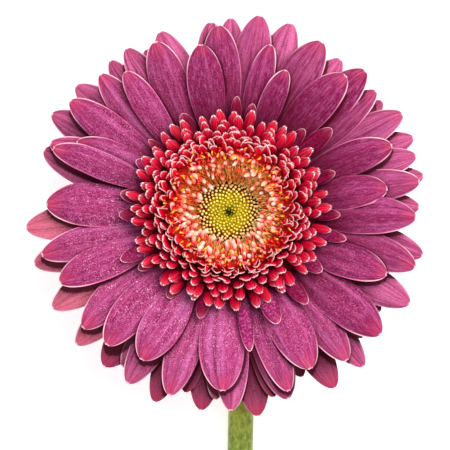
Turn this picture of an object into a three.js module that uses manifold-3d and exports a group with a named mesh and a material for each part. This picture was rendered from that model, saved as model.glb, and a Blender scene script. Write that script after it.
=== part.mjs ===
// A cut gerbera lying on a table: its stem lies along -Y and its head faces up.
// Millimetres, +Z up. The origin is the middle of the flower's box, on the table.
//
// The head has a frame of its own, with its origin at the middle of the receptacle's top and +Z along the
// flower's axis. That axis leans a little towards +Y, away from the stem. Each ray floret is a thin blade whose
// tip is given as it is seen from straight above: its bearing round the flower and its reach from the middle.

import * as THREE from "three";
import { mergeVertices } from "three/addons/utils/BufferGeometryUtils.js";
import Module from "manifold-3d";

const wasm = await Module();
wasm.setup();

// Driving dimensions of the whole flower
const HEAD_RADIUS = 55.5; // reach of the outermost ray florets
const STEM_REACH = 245; // from the head's middle to the cut end
const STEM_RADIUS = 3.45; // just under the head
const STEM_FOOT_RADIUS = 3.8; // at the cut end
const STEM_SIDES = 12; // one side is flat on the table
const NECK_RADIUS = 12; // bend of the neck, at the stem's middle line
const HEAD_LEAN = THREE.MathUtils.degToRad(10); // of the flower's axis from upright
const HEAD_X = 0.6;
const HEAD_Y = (STEM_REACH - HEAD_RADIUS) / 2;

// The receptacle and the rings that stand on it, in the head's frame
const INVOLUCRE_DEPTH = 11; // from the receptacle's top down to the stem
const RECEPTACLE_RADIUS = 14.6;
const GAP = 0.3; // between pieces that touch
const RING_SIDES = 24;
const SEAT = -0.7; // height of the foot of each ring of florets
const DISC_RADIUS = 8.6;
const DISC_HEIGHT = 4.2;
const INNER_RING_RADIUS = 10.2;
const RUFF_RING_RADIUS = 12.6;
const RAY_RING_RADIUS = 14.6;
const RAY_RING_TOP = 1.2;

// Blades
const RAY_THICKNESS = 0.75;
const FLORET_THICKNESS = 0.7;
const RAY_ROOT_REACH = 13.8;
const WIDEST_AT = 0.64; // share of a blade's length
const TIP_FULLNESS = 2.3; // 2 makes half an ellipse
const BLUNT_TIP = 0.24; // width of the cut-off tip, as a share of the widest
const ROOT_SHARE = 0.36; // width of the root, as a share of the widest

// Heights above the table
const NECK_TURN = Math.PI / 2 - HEAD_LEAN;
const STEM_FLAT = Math.cos(Math.PI / STEM_SIDES); // from the stem's middle to a side, as a share of its radius
const NECK_RISE = NECK_RADIUS * (1 - Math.cos(NECK_TURN));
const HEAD_HEIGHT = STEM_RADIUS * STEM_FLAT + NECK_RISE + (INVOLUCRE_DEPTH + GAP) * Math.cos(HEAD_LEAN);

// Ray florets from the front of the flower to its back:
// bearing of the tip and of the root in degrees (anticlockwise from +X), reach of the tip, width, and level,
// from 1 on top to 0 at the back.
const RAYS = [
  // front row
  [8.5, 7.5, 44.0, 9.2, 0.95], [22, 24.3, 48.4, 9.4, 1.0], [49.5, 53, 49.5, 10.7, 0.95],
  [68, 68.8, 42.1, 6.8, 1.0], [76, 77.5, 47.6, 7.2, 0.9], [99.5, 102.5, 46.8, 10.2, 1.0],
  [126.5, 131.5, 48.1, 7.7, 1.0], [155.5, 154, 46.2, 8.0, 0.95], [160, 163, 51.4, 7.8, 1.03],
  [177.5, 178.5, 50.3, 12.2, 0.9], [202.5, 203, 50.3, 9.9, 1.0], [227.5, 223.5, 49.5, 10.1, 0.95],
  [239.5, 241, 47.0, 11.5, 1.03], [268, 264.8, 49.0, 12.5, 1.0], [297.5, 297, 48.4, 11.4, 1.0],
  [338.5, 333.5, 46.5, 9.8, 1.0],
  // second row
  [93.5, 92, 51.7, 10.6, 0.82], [113.5, 118.5, 51.2, 10.6, 0.84], [133, 140, 52.0, 8.6, 0.8],
  [145, 148.5, 53.4, 9.4, 0.86], [193, 192.5, 52.8, 9.3, 0.84], [218.5, 213.5, 51.2, 9.6, 0.82],
  [252, 252, 52.8, 9.6, 0.76], [288.5, 285.5, 51.7, 8.6, 0.84], [308.5, 310, 52.0, 9.6, 0.84],
  [321, 321, 53.4, 11.6, 0.9], [343.5, 345, 53.4, 10.2, 0.84], [358.5, 356, 51.4, 10.6, 0.9],
  [9, 9.5, 53.1, 9.2, 0.74],
  // third row
  [159, 158, 52.8, 9.0, 0.78], [16.8, 17, 53.9, 9.2, 0.62], [29.5, 29, 55.0, 9.6, 0.72],
  [39.5, 36, 52.5, 8.2, 0.78], [46, 46.5, 54.2, 10.8, 0.84], [61.5, 64, 53.6, 11.4, 0.76],
  [72, 72, 55.0, 10.5, 0.46], [81, 83, 55.0, 10.6, 0.72], [95.5, 97, 52.8, 9.5, 0.6],
  [122, 123, 53.4, 9.0, 0.62], [270.5, 272, 54.5, 9.5, 0.56],
  // back row
  [1.5, 1, 52.5, 9.0, 0.5], [10.5, 11, 54.7, 8.5, 0.4], [22, 22, 55.0, 8.8, 0.34],
  [54, 54.5, 52.5, 9.6, 0.22], [89.5, 89.5, 53.9, 9.0, 0.2], [111, 109, 53.6, 10.0, 0.2],
  [140.5, 140, 55.0, 9.6, 0.12], [151, 152, 56.1, 9.6, 0.24], [161.5, 167, 53.9, 11.0, 0.5],
  [184.5, 184, 56.1, 10.5, 0.45], [195, 196, 55.6, 10.2, 0.4], [208.5, 208, 55.3, 9.8, 0.45],
  [221, 220, 55.6, 9.0, 0.4], [231, 230, 54.7, 11.0, 0.12], [239.5, 240, 54.7, 10.0, 0.4],
  [248.5, 249, 56.1, 9.0, 0.12], [262, 261, 55.0, 9.5, 0.15], [278, 278, 56.7, 10.0, 0.1],
  [287.5, 286, 53.9, 10.4, 0.45], [301, 301, 56.4, 10.0, 0.25], [311, 312, 56.4, 9.0, 0.4],
  [317, 318, 50.6, 7.0, 0.15], [333, 332, 55.8, 10.5, 0.4], [347.5, 349, 54.7, 9.5, 0.45],
  // short ones at the very back
  [235.5, 235, 51.7, 7.6, 0.2], [256.5, 256, 51.0, 7.6, 0.2], [265.8, 266, 51.7, 7.6, 0.3],
  [283.5, 283.5, 52.3, 7.6, 0.2], [294, 293, 49.6, 7.6, 0.2], [327, 326.5, 49.9, 7.6, 0.2],
];

// The back ray florets that sag to the table: bearing of tip and root, reach and width.
const RESTING_RAYS = [
  [35.5, 34.5, 52.5, 8.2], [57.5, 58, 49.5, 9.0], [117, 117, 50.5, 9.0], [128.3, 129, 53.3, 8.2],
];
const RESTING_TIP = -1.2; // how far the table holds such a tip up from where it would sag to

// Short purple florets between the ruff and the rays: bearing, reach and width.
const SMALL_RAYS = [
  [20.5, 31.1, 3.8], [39, 36.3, 5.2], [47.5, 30.8, 4.0], [77.5, 30.5, 3.6], [86, 31.9, 3.2],
  [115.5, 30.0, 4.4], [138, 29.7, 2.8], [151, 29.2, 3.6], [170.5, 30.2, 4.4], [181.5, 30.2, 4.0],
  [204, 32.5, 4.3], [212.5, 29.4, 3.8], [234.5, 28.9, 4.1], [254.5, 30.2, 3.7], [278.5, 38.5, 4.3],
  [293.5, 33.3, 5.3], [310.5, 33.0, 4.4], [327.5, 30.2, 4.4], [346.8, 33.0, 3.6], [358.5, 30.5, 3.6],
];

const GOLDEN_ANGLE = THREE.MathUtils.degToRad(137.508);
const radians = THREE.MathUtils.degToRad;
const { lerp, smoothstep, clamp } = THREE.MathUtils;

// A repeatable number from 0 to 1 for each whole number and seed.
function chance(index, seed) {
  const wave = Math.sin(index * 12.9898 + seed * 78.233) * 43758.5453;
  return wave - Math.floor(wave);
}

function pointAround(bearing, reach, height) {
  return new THREE.Vector3(reach * Math.cos(bearing), reach * Math.sin(bearing), height);
}

// The point of the head's frame at a given height that is seen from straight above at a bearing and reach
// from the middle of the disc.
function pointSeenAt(bearing, reach, height) {
  const x = reach * Math.cos(bearing);
  const y = (reach * Math.sin(bearing) - (height - DISC_HEIGHT) * Math.sin(HEAD_LEAN)) / Math.cos(HEAD_LEAN);
  return new THREE.Vector3(x, y, height);
}

// Height in the head's frame of the table under a point of that frame.
function tableUnder(y) {
  return (y * Math.sin(HEAD_LEAN) - HEAD_HEIGHT) / Math.cos(HEAD_LEAN);
}

// A closed mesh as a manifold-3d solid.
function solidOf(geometry) {
  const bare = geometry.clone();
  bare.deleteAttribute("normal");
  bare.deleteAttribute("uv");
  const merged = mergeVertices(bare, 1e-4);
  return new wasm.Manifold(
    new wasm.Mesh({
      numProp: 3,
      vertProperties: merged.attributes.position.array,
      triVerts: new Uint32Array(merged.index.array),
    }),
  );
}

// A manifold-3d solid as a three.js geometry.
function geometryOf(solid) {
  const mesh = solid.getMesh();
  const geometry = new THREE.BufferGeometry();
  geometry.setAttribute("position", new THREE.BufferAttribute(mesh.vertProperties, 3));
  geometry.setIndex(new THREE.BufferAttribute(mesh.triVerts, 1));
  geometry.computeVertexNormals();
  return geometry;
}

// The solids as one, with any small pocket that they close off between them filled in.
function joined(solids) {
  const shells = wasm.Manifold.union(solids).decompose();
  return wasm.Manifold.union(shells.filter((shell) => shell.volume() > 0));
}

// A closed sheet over a grid of points: the top and bottom points of each cell, split into triangles alike.
function sheetGeometry(rows, columns, topAt, bottomAt) {
  const positions = [];
  const triangles = [];
  for (const pointAt of [topAt, bottomAt])
    for (let i = 0; i < rows; i++)
      for (let j = 0; j < columns; j++) positions.push(...pointAt(i, j).toArray());
  const top = (i, j) => i * columns + j;
  const bottom = (i, j) => rows * columns + top(i, j);
  for (let i = 0; i + 1 < rows; i++)
    for (let j = 0; j + 1 < columns; j++) {
      triangles.push(top(i, j), top(i + 1, j), top(i + 1, j + 1), top(i, j), top(i + 1, j + 1), top(i, j + 1));
      triangles.push(bottom(i, j), bottom(i + 1, j + 1), bottom(i + 1, j));
      triangles.push(bottom(i, j), bottom(i, j + 1), bottom(i + 1, j + 1));
    }
  const rim = [];
  for (let i = 0; i + 1 < rows; i++) rim.push([i, 0]);
  for (let j = 0; j + 1 < columns; j++) rim.push([rows - 1, j]);
  for (let i = rows - 1; i > 0; i--) rim.push([i, columns - 1]);
  for (let j = columns - 1; j > 0; j--) rim.push([0, j]);
  rim.forEach(([i, j], k) => {
    const [m, n] = rim[(k + 1) % rim.length];
    triangles.push(top(i, j), bottom(i, j), bottom(m, n), top(i, j), bottom(m, n), top(m, n));
  });
  const geometry = new THREE.BufferGeometry();
  geometry.setAttribute("position", new THREE.Float32BufferAttribute(positions, 3));
  geometry.setIndex(triangles);
  return geometry;
}

// Share of its full width that a blade has at a share of its length: it widens from the root,
// and its tip is rounded, fuller than an ellipse, and cut off blunt.
function bladeWidth(share) {
  if (share < WIDEST_AT) return lerp(ROOT_SHARE, 1, smoothstep(share, 0, WIDEST_AT));
  const past = (share - WIDEST_AT) / (1 - WIDEST_AT);
  return Math.max(BLUNT_TIP, (1 - past ** TIP_FULLNESS) ** (1 / TIP_FULLNESS));
}

// A floret's blade. Its middle line runs from root to tip and bends sideways as its bearing turns from one to
// the other, its height follows a quadratic curve, and its cross-section is arched with the edges low.
// Where a table is given, the blade lies on it instead of going through it.
function blade({ root, tip, bend, width, arch, thickness, stations, columns, table }) {
  const rootReach = Math.hypot(root.x, root.y);
  const tipReach = Math.hypot(tip.x, tip.y);
  const rootBearing = Math.atan2(root.y, root.x);
  const turn = THREE.MathUtils.euclideanModulo(Math.atan2(tip.y, tip.x) - rootBearing + Math.PI, 2 * Math.PI) - Math.PI;
  const middleAt = (share) => {
    const height = (1 - share) ** 2 * root.z + 2 * share * (1 - share) * bend + share ** 2 * tip.z;
    return pointAround(rootBearing + turn * share, lerp(rootReach, tipReach, share), height);
  };
  const faceAt = (face) => (i, j) => {
    const share = stations[i];
    const side = (2 * j) / (columns - 1) - 1;
    const ahead = middleAt(share + 0.01).sub(middleAt(share - 0.01)).normalize();
    const left = new THREE.Vector3(-ahead.y, ahead.x, 0).normalize();
    const halfWidth = (width / 2) * bladeWidth(share);
    const point = middleAt(share).addScaledVector(left, side * halfWidth);
    point.addScaledVector(ahead.clone().cross(left), (face * thickness) / 2);
    point.z -= arch * halfWidth * side * side;
    if (table) point.z = Math.max(point.z, table(point.y) + (face > 0 ? thickness : 0));
    return point;
  };
  return solidOf(sheetGeometry(stations.length, columns, faceAt(1), faceAt(-1)));
}

// A ring or plug turned round the flower's axis from a closed profile of [radius, height] points.
function turned(profile) {
  const points = profile.map(([radius, height]) => new THREE.Vector2(radius, height));
  if (profile[0][0] > 0) points.push(points[0].clone());
  const geometry = new THREE.LatheGeometry(points, RING_SIDES);
  geometry.rotateX(Math.PI / 2);
  const solid = solidOf(geometry);
  return solid.volume() > 0 ? solid : solidOf(facingOut(geometry));
}

function facingOut(geometry) {
  const index = geometry.index.array;
  for (let k = 0; k < index.length; k += 3) [index[k + 1], index[k + 2]] = [index[k + 2], index[k + 1]];
  return geometry;
}

// The ray florets: mauve blades in four loose rows on one ring.
function rayFlorets() {
  const ring = turned([
    [RUFF_RING_RADIUS + GAP, SEAT],
    [RAY_RING_RADIUS, SEAT],
    [RAY_RING_RADIUS, RAY_RING_TOP],
    [RUFF_RING_RADIUS + GAP, RAY_RING_TOP],
  ]);
  const blades = RAYS.map(([tipBearing, rootBearing, reach, width, level]) => {
    const tipHeight = lerp(-12, 3.6, level);
    return blade({
      root: pointSeenAt(radians(rootBearing), RAY_ROOT_REACH, lerp(0.15, 0.8, level)),
      tip: pointSeenAt(radians(tipBearing), reach, tipHeight),
      bend: lerp(-1.0, 6.8, level),
      width,
      arch: 0.2,
      thickness: RAY_THICKNESS,
      stations: level > 0.7 ? [0, 0.32, 0.64, 0.88, 1] : [0, 0.4, 0.84, 1],
      columns: level > 0.7 ? 3 : 2,
      table: tableUnder,
    });
  });
  const resting = RESTING_RAYS.map(([tipBearing, rootBearing, reach, width]) => {
    const y = reach * Math.sin(radians(tipBearing));
    return blade({
      root: pointSeenAt(radians(rootBearing), RAY_ROOT_REACH, 0.15),
      tip: pointSeenAt(radians(tipBearing), reach, tableUnder(y) + RESTING_TIP),
      bend: -5,
      width,
      arch: 0.16,
      thickness: RAY_THICKNESS,
      stations: [0, 0.3, 0.64, 0.88, 0.95, 1],
      columns: 3,
      table: tableUnder,
    });
  });
  return joined([ring, ...blades, ...resting]);
}

// The ruff: crimson florets that lean out from a flared ring, with a few longer purple ones under them.
const RUFF_COUNT = 76;
const RUFF_REACH = [28.2, 20.3]; // of the lowest and the highest floret's tip
const RUFF_HEIGHT = [7.4, 12.2];
const RUFF_ROOT_REACH = [19.6, 18.2];
const RUFF_ROOT_HEIGHT = [5.5, 7.2];
function ruffFlorets() {
  const core = turned([
    [INNER_RING_RADIUS + GAP, SEAT],
    [RUFF_RING_RADIUS, SEAT],
    [RUFF_RING_RADIUS, 2.6],
    [24.2, 6.1],
    [20.2, 9.5],
    [INNER_RING_RADIUS + GAP, 2.9],
  ]);
  const florets = Array.from({ length: RUFF_COUNT }, (_, index) => {
    const share = index / (RUFF_COUNT - 1);
    const reach = lerp(...RUFF_REACH, share) + 1.2 * (chance(index, 1) - 0.5);
    const height = lerp(...RUFF_HEIGHT, share);
    const bearing = index * GOLDEN_ANGLE;
    return blade({
      root: pointAround(bearing, lerp(...RUFF_ROOT_REACH, share), lerp(...RUFF_ROOT_HEIGHT, share)),
      tip: pointAround(bearing, reach, height),
      bend: lerp(6.6, 10.6, share),
      width: lerp(4.0, 3.6, share),
      arch: 0,
      thickness: FLORET_THICKNESS,
      stations: [0, 0.7, 1],
      columns: 2,
    });
  });
  const small = SMALL_RAYS.map(([bearing, reach, width]) =>
    blade({
      root: pointSeenAt(radians(bearing), 18, 5.2),
      tip: pointSeenAt(radians(bearing), reach, lerp(6.6, 7.6, (reach - 29) / 9)),
      bend: 6.2,
      width,
      arch: 0,
      thickness: FLORET_THICKNESS,
      stations: [0, 0.5, 0.82, 1],
      columns: 2,
    }),
  );
  return joined([core, ...florets, ...small]);
}

// The inner florets: pale-tipped, short, round the rim and the inner wall of the flower's crater.
const INNER_COUNT = 74;
const INNER_REACH = [18.7, 11.4]; // of the outermost and the innermost floret's tip
const INNER_HEIGHT = [12.4, 8.8];
const INNER_ROOT_REACH = [15.8, 10.6];
const INNER_ROOT_HEIGHT = [8.6, 5.2];
function innerFlorets() {
  const core = turned([
    [DISC_RADIUS + GAP, SEAT],
    [INNER_RING_RADIUS, SEAT],
    [INNER_RING_RADIUS, 3.2],
    [18.2, 8.8],
    [17.3, 10.1],
    [13.6, 9.2],
    [DISC_RADIUS + GAP, 4.8],
  ]);
  const florets = Array.from({ length: INNER_COUNT }, (_, index) => {
    const share = index / (INNER_COUNT - 1);
    const bearing = index * GOLDEN_ANGLE;
    const height = lerp(...INNER_HEIGHT, share) + 0.8 * (chance(index, 2) - 0.5);
    return blade({
      root: pointAround(bearing, lerp(...INNER_ROOT_REACH, share), lerp(...INNER_ROOT_HEIGHT, share)),
      tip: pointAround(bearing, lerp(...INNER_REACH, share), height),
      bend: height - 0.6,
      width: lerp(2.9, 2.2, share),
      arch: 0,
      thickness: FLORET_THICKNESS,
      stations: [0.2, 0.9],
      columns: 2,
    });
  });
  return joined([core, ...florets]);
}

// The disc: unopened buds, yellow-green, packed in a spiral on a low dome with a small dip in its middle.
const BUD_COUNT = 76;
function discBuds() {
  const dome = (radius) => 4.6 - 1.1 * Math.exp(-((radius / 1.6) ** 2)) - 0.6 * (radius / DISC_RADIUS) ** 2;
  const core = turned([
    [0, SEAT],
    [DISC_RADIUS, SEAT],
    [DISC_RADIUS, dome(DISC_RADIUS)],
    ...[6, 3, 1.4, 0].map((radius) => [radius, dome(radius)]),
  ]);
  const buds = Array.from({ length: BUD_COUNT }, (_, index) => {
    const radius = (DISC_RADIUS - 0.6) * Math.sqrt((index + 0.5) / BUD_COUNT);
    const bearing = index * GOLDEN_ANGLE;
    const bud = new THREE.ConeGeometry(0.55, 1.5, 4);
    bud.rotateX(Math.PI / 2);
    bud.translate(radius * Math.cos(bearing), radius * Math.sin(bearing), dome(radius) + 0.45);
    return solidOf(bud);
  });
  return joined([core, ...buds]);
}

// The involucre: the green cup under the flower, with two rows of narrow pointed bracts pressed to it.
const BRACT_ROWS = [
  { count: 15, tipReach: 15.3, tipHeight: -3.0, rootReach: 8.4, rootHeight: -8.4, width: 3.3 },
  { count: 12, tipReach: 12.8, tipHeight: -6.2, rootReach: 5.4, rootHeight: -10.2, width: 2.9 },
];
function involucre() {
  const cup = turned([
    [0, -INVOLUCRE_DEPTH],
    [STEM_RADIUS + 0.2, -INVOLUCRE_DEPTH],
    [4.6, -10.2],
    [9.2, -8.0],
    [12.6, -5.0],
    [RECEPTACLE_RADIUS, -1.8],
    [RECEPTACLE_RADIUS, SEAT - GAP],
    [0, SEAT - GAP],
  ]);
  const bracts = BRACT_ROWS.flatMap(({ count, tipReach, tipHeight, rootReach, rootHeight, width }, row) =>
    Array.from({ length: count }, (_, index) => {
      const bearing = ((index + row * 0.5) / count) * 2 * Math.PI;
      return blade({
        root: pointAround(bearing, rootReach, rootHeight),
        tip: pointAround(bearing, tipReach, tipHeight),
        bend: lerp(rootHeight, tipHeight, 0.3),
        width,
        arch: 0,
        thickness: 0.9,
        stations: [0, 0.6, 1],
        columns: 2,
      });
    }),
  );
  return joined([cup, ...bracts]);
}

// The stem: a tube, with one side flat on the table, that lies along -Y and bends up to the head.
function stemGeometry() {
  const top = new THREE.Vector3(0, 0, -INVOLUCRE_DEPTH - GAP);
  const rings = [];
  const addRing = (middle, ahead, radius) => rings.push({ middle, ahead, radius });
  const topWorld = top
    .clone()
    .applyAxisAngle(new THREE.Vector3(1, 0, 0), -HEAD_LEAN)
    .add(new THREE.Vector3(HEAD_X, HEAD_Y, HEAD_HEIGHT));
  const bendSteps = 8;
  for (let k = 0; k <= bendSteps; k++) {
    const dip = NECK_TURN * (1 - k / bendSteps); // how steeply the stem still falls
    const y = topWorld.y - NECK_RADIUS * (Math.sin(NECK_TURN) - Math.sin(dip));
    const z = topWorld.z - NECK_RADIUS * (Math.cos(dip) - Math.cos(NECK_TURN));
    addRing(new THREE.Vector3(topWorld.x, y, z), new THREE.Vector3(0, -Math.cos(dip), -Math.sin(dip)), STEM_RADIUS);
  }
  const start = rings[rings.length - 1].middle;
  const endY = HEAD_Y - STEM_REACH;
  const lengthSteps = 12;
  for (let k = 1; k <= lengthSteps; k++) {
    const share = k / lengthSteps;
    const radius = lerp(STEM_RADIUS, STEM_FOOT_RADIUS, share);
    const x = start.x + stemBow(share);
    const slope = (stemBow(share + 0.01) - stemBow(share - 0.01)) / 0.02 / (endY - start.y);
    const ahead = new THREE.Vector3(-slope, -1, 0).normalize();
    addRing(new THREE.Vector3(x, lerp(start.y, endY, share), radius * STEM_FLAT), ahead, radius);
  }
  return tubeGeometry(rings);
}

// Sideways bow of the stem along its lying part: first to +X, as it comes out under the head, then back past it.
function stemBow(share) {
  return 3.6 * Math.sin(Math.min(1, share / 0.16) * (Math.PI / 2)) - 9 * share ** 2;
}

function tubeGeometry(rings) {
  const positions = [];
  const triangles = [];
  for (const { middle, ahead, radius } of rings) {
    const side = new THREE.Vector3(0, 0, 1).cross(ahead);
    if (side.length() < 0.2) side.set(1, 0, 0);
    side.set(Math.abs(side.x) > 1e-6 ? side.x : 1, side.y, 0).normalize();
    if (side.x < 0) side.negate();
    const up = side.clone().cross(ahead).normalize();
    if (up.z < 0 || (Math.abs(up.z) < 1e-6 && up.y < 0)) up.negate();
    for (let k = 0; k < STEM_SIDES; k++) {
      const turn = ((k + 0.5) / STEM_SIDES) * 2 * Math.PI;
      const point = middle
        .clone()
        .addScaledVector(side, radius * Math.cos(turn))
        .addScaledVector(up, radius * Math.sin(turn));
      positions.push(...point.toArray());
    }
  }
  const ends = [rings[0], rings[rings.length - 1]].map(({ middle }) => {
    positions.push(...middle.toArray());
    return positions.length / 3 - 1;
  });
  const at = (ring, k) => ring * STEM_SIDES + (k % STEM_SIDES);
  for (let k = 0; k < STEM_SIDES; k++) {
    for (let ring = 0; ring + 1 < rings.length; ring++) {
      triangles.push(at(ring, k), at(ring, k + 1), at(ring + 1, k));
      triangles.push(at(ring, k + 1), at(ring + 1, k + 1), at(ring + 1, k));
    }
    triangles.push(ends[0], at(0, k + 1), at(0, k));
    triangles.push(ends[1], at(rings.length - 1, k), at(rings.length - 1, k + 1));
  }
  const geometry = new THREE.BufferGeometry();
  geometry.setAttribute("position", new THREE.Float32BufferAttribute(positions, 3));
  geometry.setIndex(triangles);
  return solidOf(geometry).volume() > 0 ? geometry : facingOut(geometry);
}

const FINISHES = {
  stem: new THREE.MeshStandardMaterial({ color: 0x7f9a3a, roughness: 0.6, metalness: 0 }),
  involucre: new THREE.MeshStandardMaterial({ color: 0x6d8a38, roughness: 0.65, metalness: 0 }),
  ray_florets: new THREE.MeshStandardMaterial({ color: 0xa83f78, roughness: 0.55, metalness: 0 }),
  ruff_florets: new THREE.MeshStandardMaterial({ color: 0xc11840, roughness: 0.5, metalness: 0 }),
  inner_florets: new THREE.MeshStandardMaterial({ color: 0xe58a7c, roughness: 0.55, metalness: 0 }),
  disc_buds: new THREE.MeshStandardMaterial({ color: 0xbfae2c, roughness: 0.5, metalness: 0 }),
};

function part(name, geometry) {
  const mesh = new THREE.Mesh(geometry, FINISHES[name]);
  mesh.name = name;
  return mesh;
}

const head = new THREE.Group();
head.position.set(HEAD_X, HEAD_Y, HEAD_HEIGHT);
head.rotation.x = -HEAD_LEAN;
head.add(
  part("involucre", geometryOf(involucre())),
  part("ray_florets", geometryOf(rayFlorets())),
  part("ruff_florets", geometryOf(ruffFlorets())),
  part("inner_florets", geometryOf(innerFlorets())),
  part("disc_buds", geometryOf(discBuds())),
);

const gerbera = new THREE.Group();
gerbera.add(part("stem", stemGeometry()), head);

export default gerbera;
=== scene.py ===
"""Cut gerbera, lying face up on a pale table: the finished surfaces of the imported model.

The head has a frame of its own, in millimetres: its origin is the middle of the receptacle's top and +Z
runs along the flower's axis. Every floret is a blade, a surface of two shares: along runs from root to tip
and across from one edge to the other. Tips are placed where they are seen from straight above.
"""

import logging
import math
from dataclasses import dataclass, field, fields
from enum import Enum

import bmesh
import bpy
import numpy as np
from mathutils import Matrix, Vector


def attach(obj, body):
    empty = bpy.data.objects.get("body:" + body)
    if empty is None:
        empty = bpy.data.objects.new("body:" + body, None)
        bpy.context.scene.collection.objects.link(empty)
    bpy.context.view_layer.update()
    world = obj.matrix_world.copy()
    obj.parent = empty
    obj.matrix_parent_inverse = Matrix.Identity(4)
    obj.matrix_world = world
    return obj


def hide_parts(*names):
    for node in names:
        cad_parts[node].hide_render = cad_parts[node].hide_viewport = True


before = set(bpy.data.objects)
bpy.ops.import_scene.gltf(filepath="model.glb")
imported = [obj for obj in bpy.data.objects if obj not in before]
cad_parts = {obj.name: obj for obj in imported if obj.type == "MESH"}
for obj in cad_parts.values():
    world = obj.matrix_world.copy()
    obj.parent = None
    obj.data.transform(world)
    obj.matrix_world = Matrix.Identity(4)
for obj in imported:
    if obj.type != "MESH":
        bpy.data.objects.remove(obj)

MM = 0.001
FULL_TURN = 2.0 * math.pi
GOLDEN_ANGLE = math.radians(137.508)

# Petals' edges sharper than this are shaded sharp, and points nearer than this in metres are merged.
SHARP_EDGE = math.radians(65.0)
WELD_DISTANCE = 2e-6

# A petal with none above it within this many mm counts as open to the light.
OPEN_DISTANCE = 6.0

# Index that stretches one value for each floret or rod over the rows and columns of its points.
EACH = (slice(None), None, None)

Values = np.ndarray | float
Socket = bpy.types.NodeSocket
Material = bpy.types.Material
Colour = tuple[float, float, float, float]
Stops = tuple[tuple[float, Colour], ...]
Profile = tuple[tuple[float, float], ...]
Range = tuple[float, float]

log = logging.getLogger("gerbera")


def smooth(share: np.ndarray, low: float, high: float) -> np.ndarray:
    """Eases from 0 at low to 1 at high, by 3 t squared less 2 t cubed.

    Args:
        share: values to ease.
        low: where the result is 0.
        high: where the result is 1.

    Returns:
        The eased values.
    """
    t = np.clip((share - low) / (high - low), 0.0, 1.0)
    return t * t * (3.0 - 2.0 * t)


def mix(low: Values, high: Values, share: Values) -> Values:
    """The value that lies a share of the way from low to high."""
    return low + (high - low) * share


def around(bearing: np.ndarray, reach: Values, height: Values) -> np.ndarray:
    """Points at a bearing in radians, a reach from the axis and a height."""
    x, y = reach * np.cos(bearing), reach * np.sin(bearing)
    return np.stack(np.broadcast_arrays(x, y, height), axis=-1)


def unit(vectors: np.ndarray) -> np.ndarray:
    """The same directions with a length of one."""
    return vectors / np.maximum(np.linalg.norm(vectors, axis=-1, keepdims=True), 1e-9)


def spread(values: Values, shape: tuple[int, ...]) -> np.ndarray:
    """Values repeated over a grid of points and laid out in one row."""
    return np.broadcast_to(values, shape).reshape(-1)


@dataclass(frozen=True)
class HeadFrame:
    """Where the head stands on the table and how far its axis leans away from the stem."""

    x: float = 0.6
    y: float = 94.75
    lean: float = math.radians(10.0)
    stem_radius: float = 3.45
    stem_flat: float = math.cos(math.pi / 12)
    neck_radius: float = 12.0
    involucre_depth: float = 11.0
    gap: float = 0.3
    disc_height: float = 4.2

    @property
    def neck_turn(self) -> float:
        """Angle through which the neck bends, from the lying stem up to the head."""
        return math.pi / 2 - self.lean

    @property
    def height(self) -> float:
        """Height of the head's origin above the table."""
        rise = self.neck_radius * (1.0 - math.cos(self.neck_turn))
        cup = (self.involucre_depth + self.gap) * math.cos(self.lean)
        return self.stem_radius * self.stem_flat + rise + cup

    def to_world(self, points: np.ndarray) -> np.ndarray:
        """Turns points of the head's frame by its lean and moves them to where the head stands.

        Args:
            points: millimetres in the head's frame.

        Returns:
            Metres in the model's frame.
        """
        x, y, z = points[..., 0], points[..., 1], points[..., 2]
        c, s = math.cos(self.lean), math.sin(self.lean)
        return MM * np.stack((x + self.x, y * c + z * s + self.y, z * c - y * s + self.height), axis=-1)

    def seen_at(self, bearing: np.ndarray, reach: Values, height: Values) -> np.ndarray:
        """Points at given heights, seen from straight above at a bearing and reach from the disc's middle.

        Seen from above, the lean moves a point by the sine times its height over the disc, and shortens y by
        the cosine. Both are undone here.

        Args:
            bearing: radians.
            reach: mm as seen.
            height: mm in the head's frame.

        Returns:
            Points in the head's frame.
        """
        rise = (height - self.disc_height) * math.sin(self.lean)
        y = (reach * np.sin(bearing) - rise) / math.cos(self.lean)
        return np.stack(np.broadcast_arrays(reach * np.cos(bearing), y, height), axis=-1)

    def table_under(self, y: np.ndarray) -> np.ndarray:
        """Height of the table in the head's frame, under points at y."""
        return (y * math.sin(self.lean) - self.height) / math.cos(self.lean)


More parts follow.
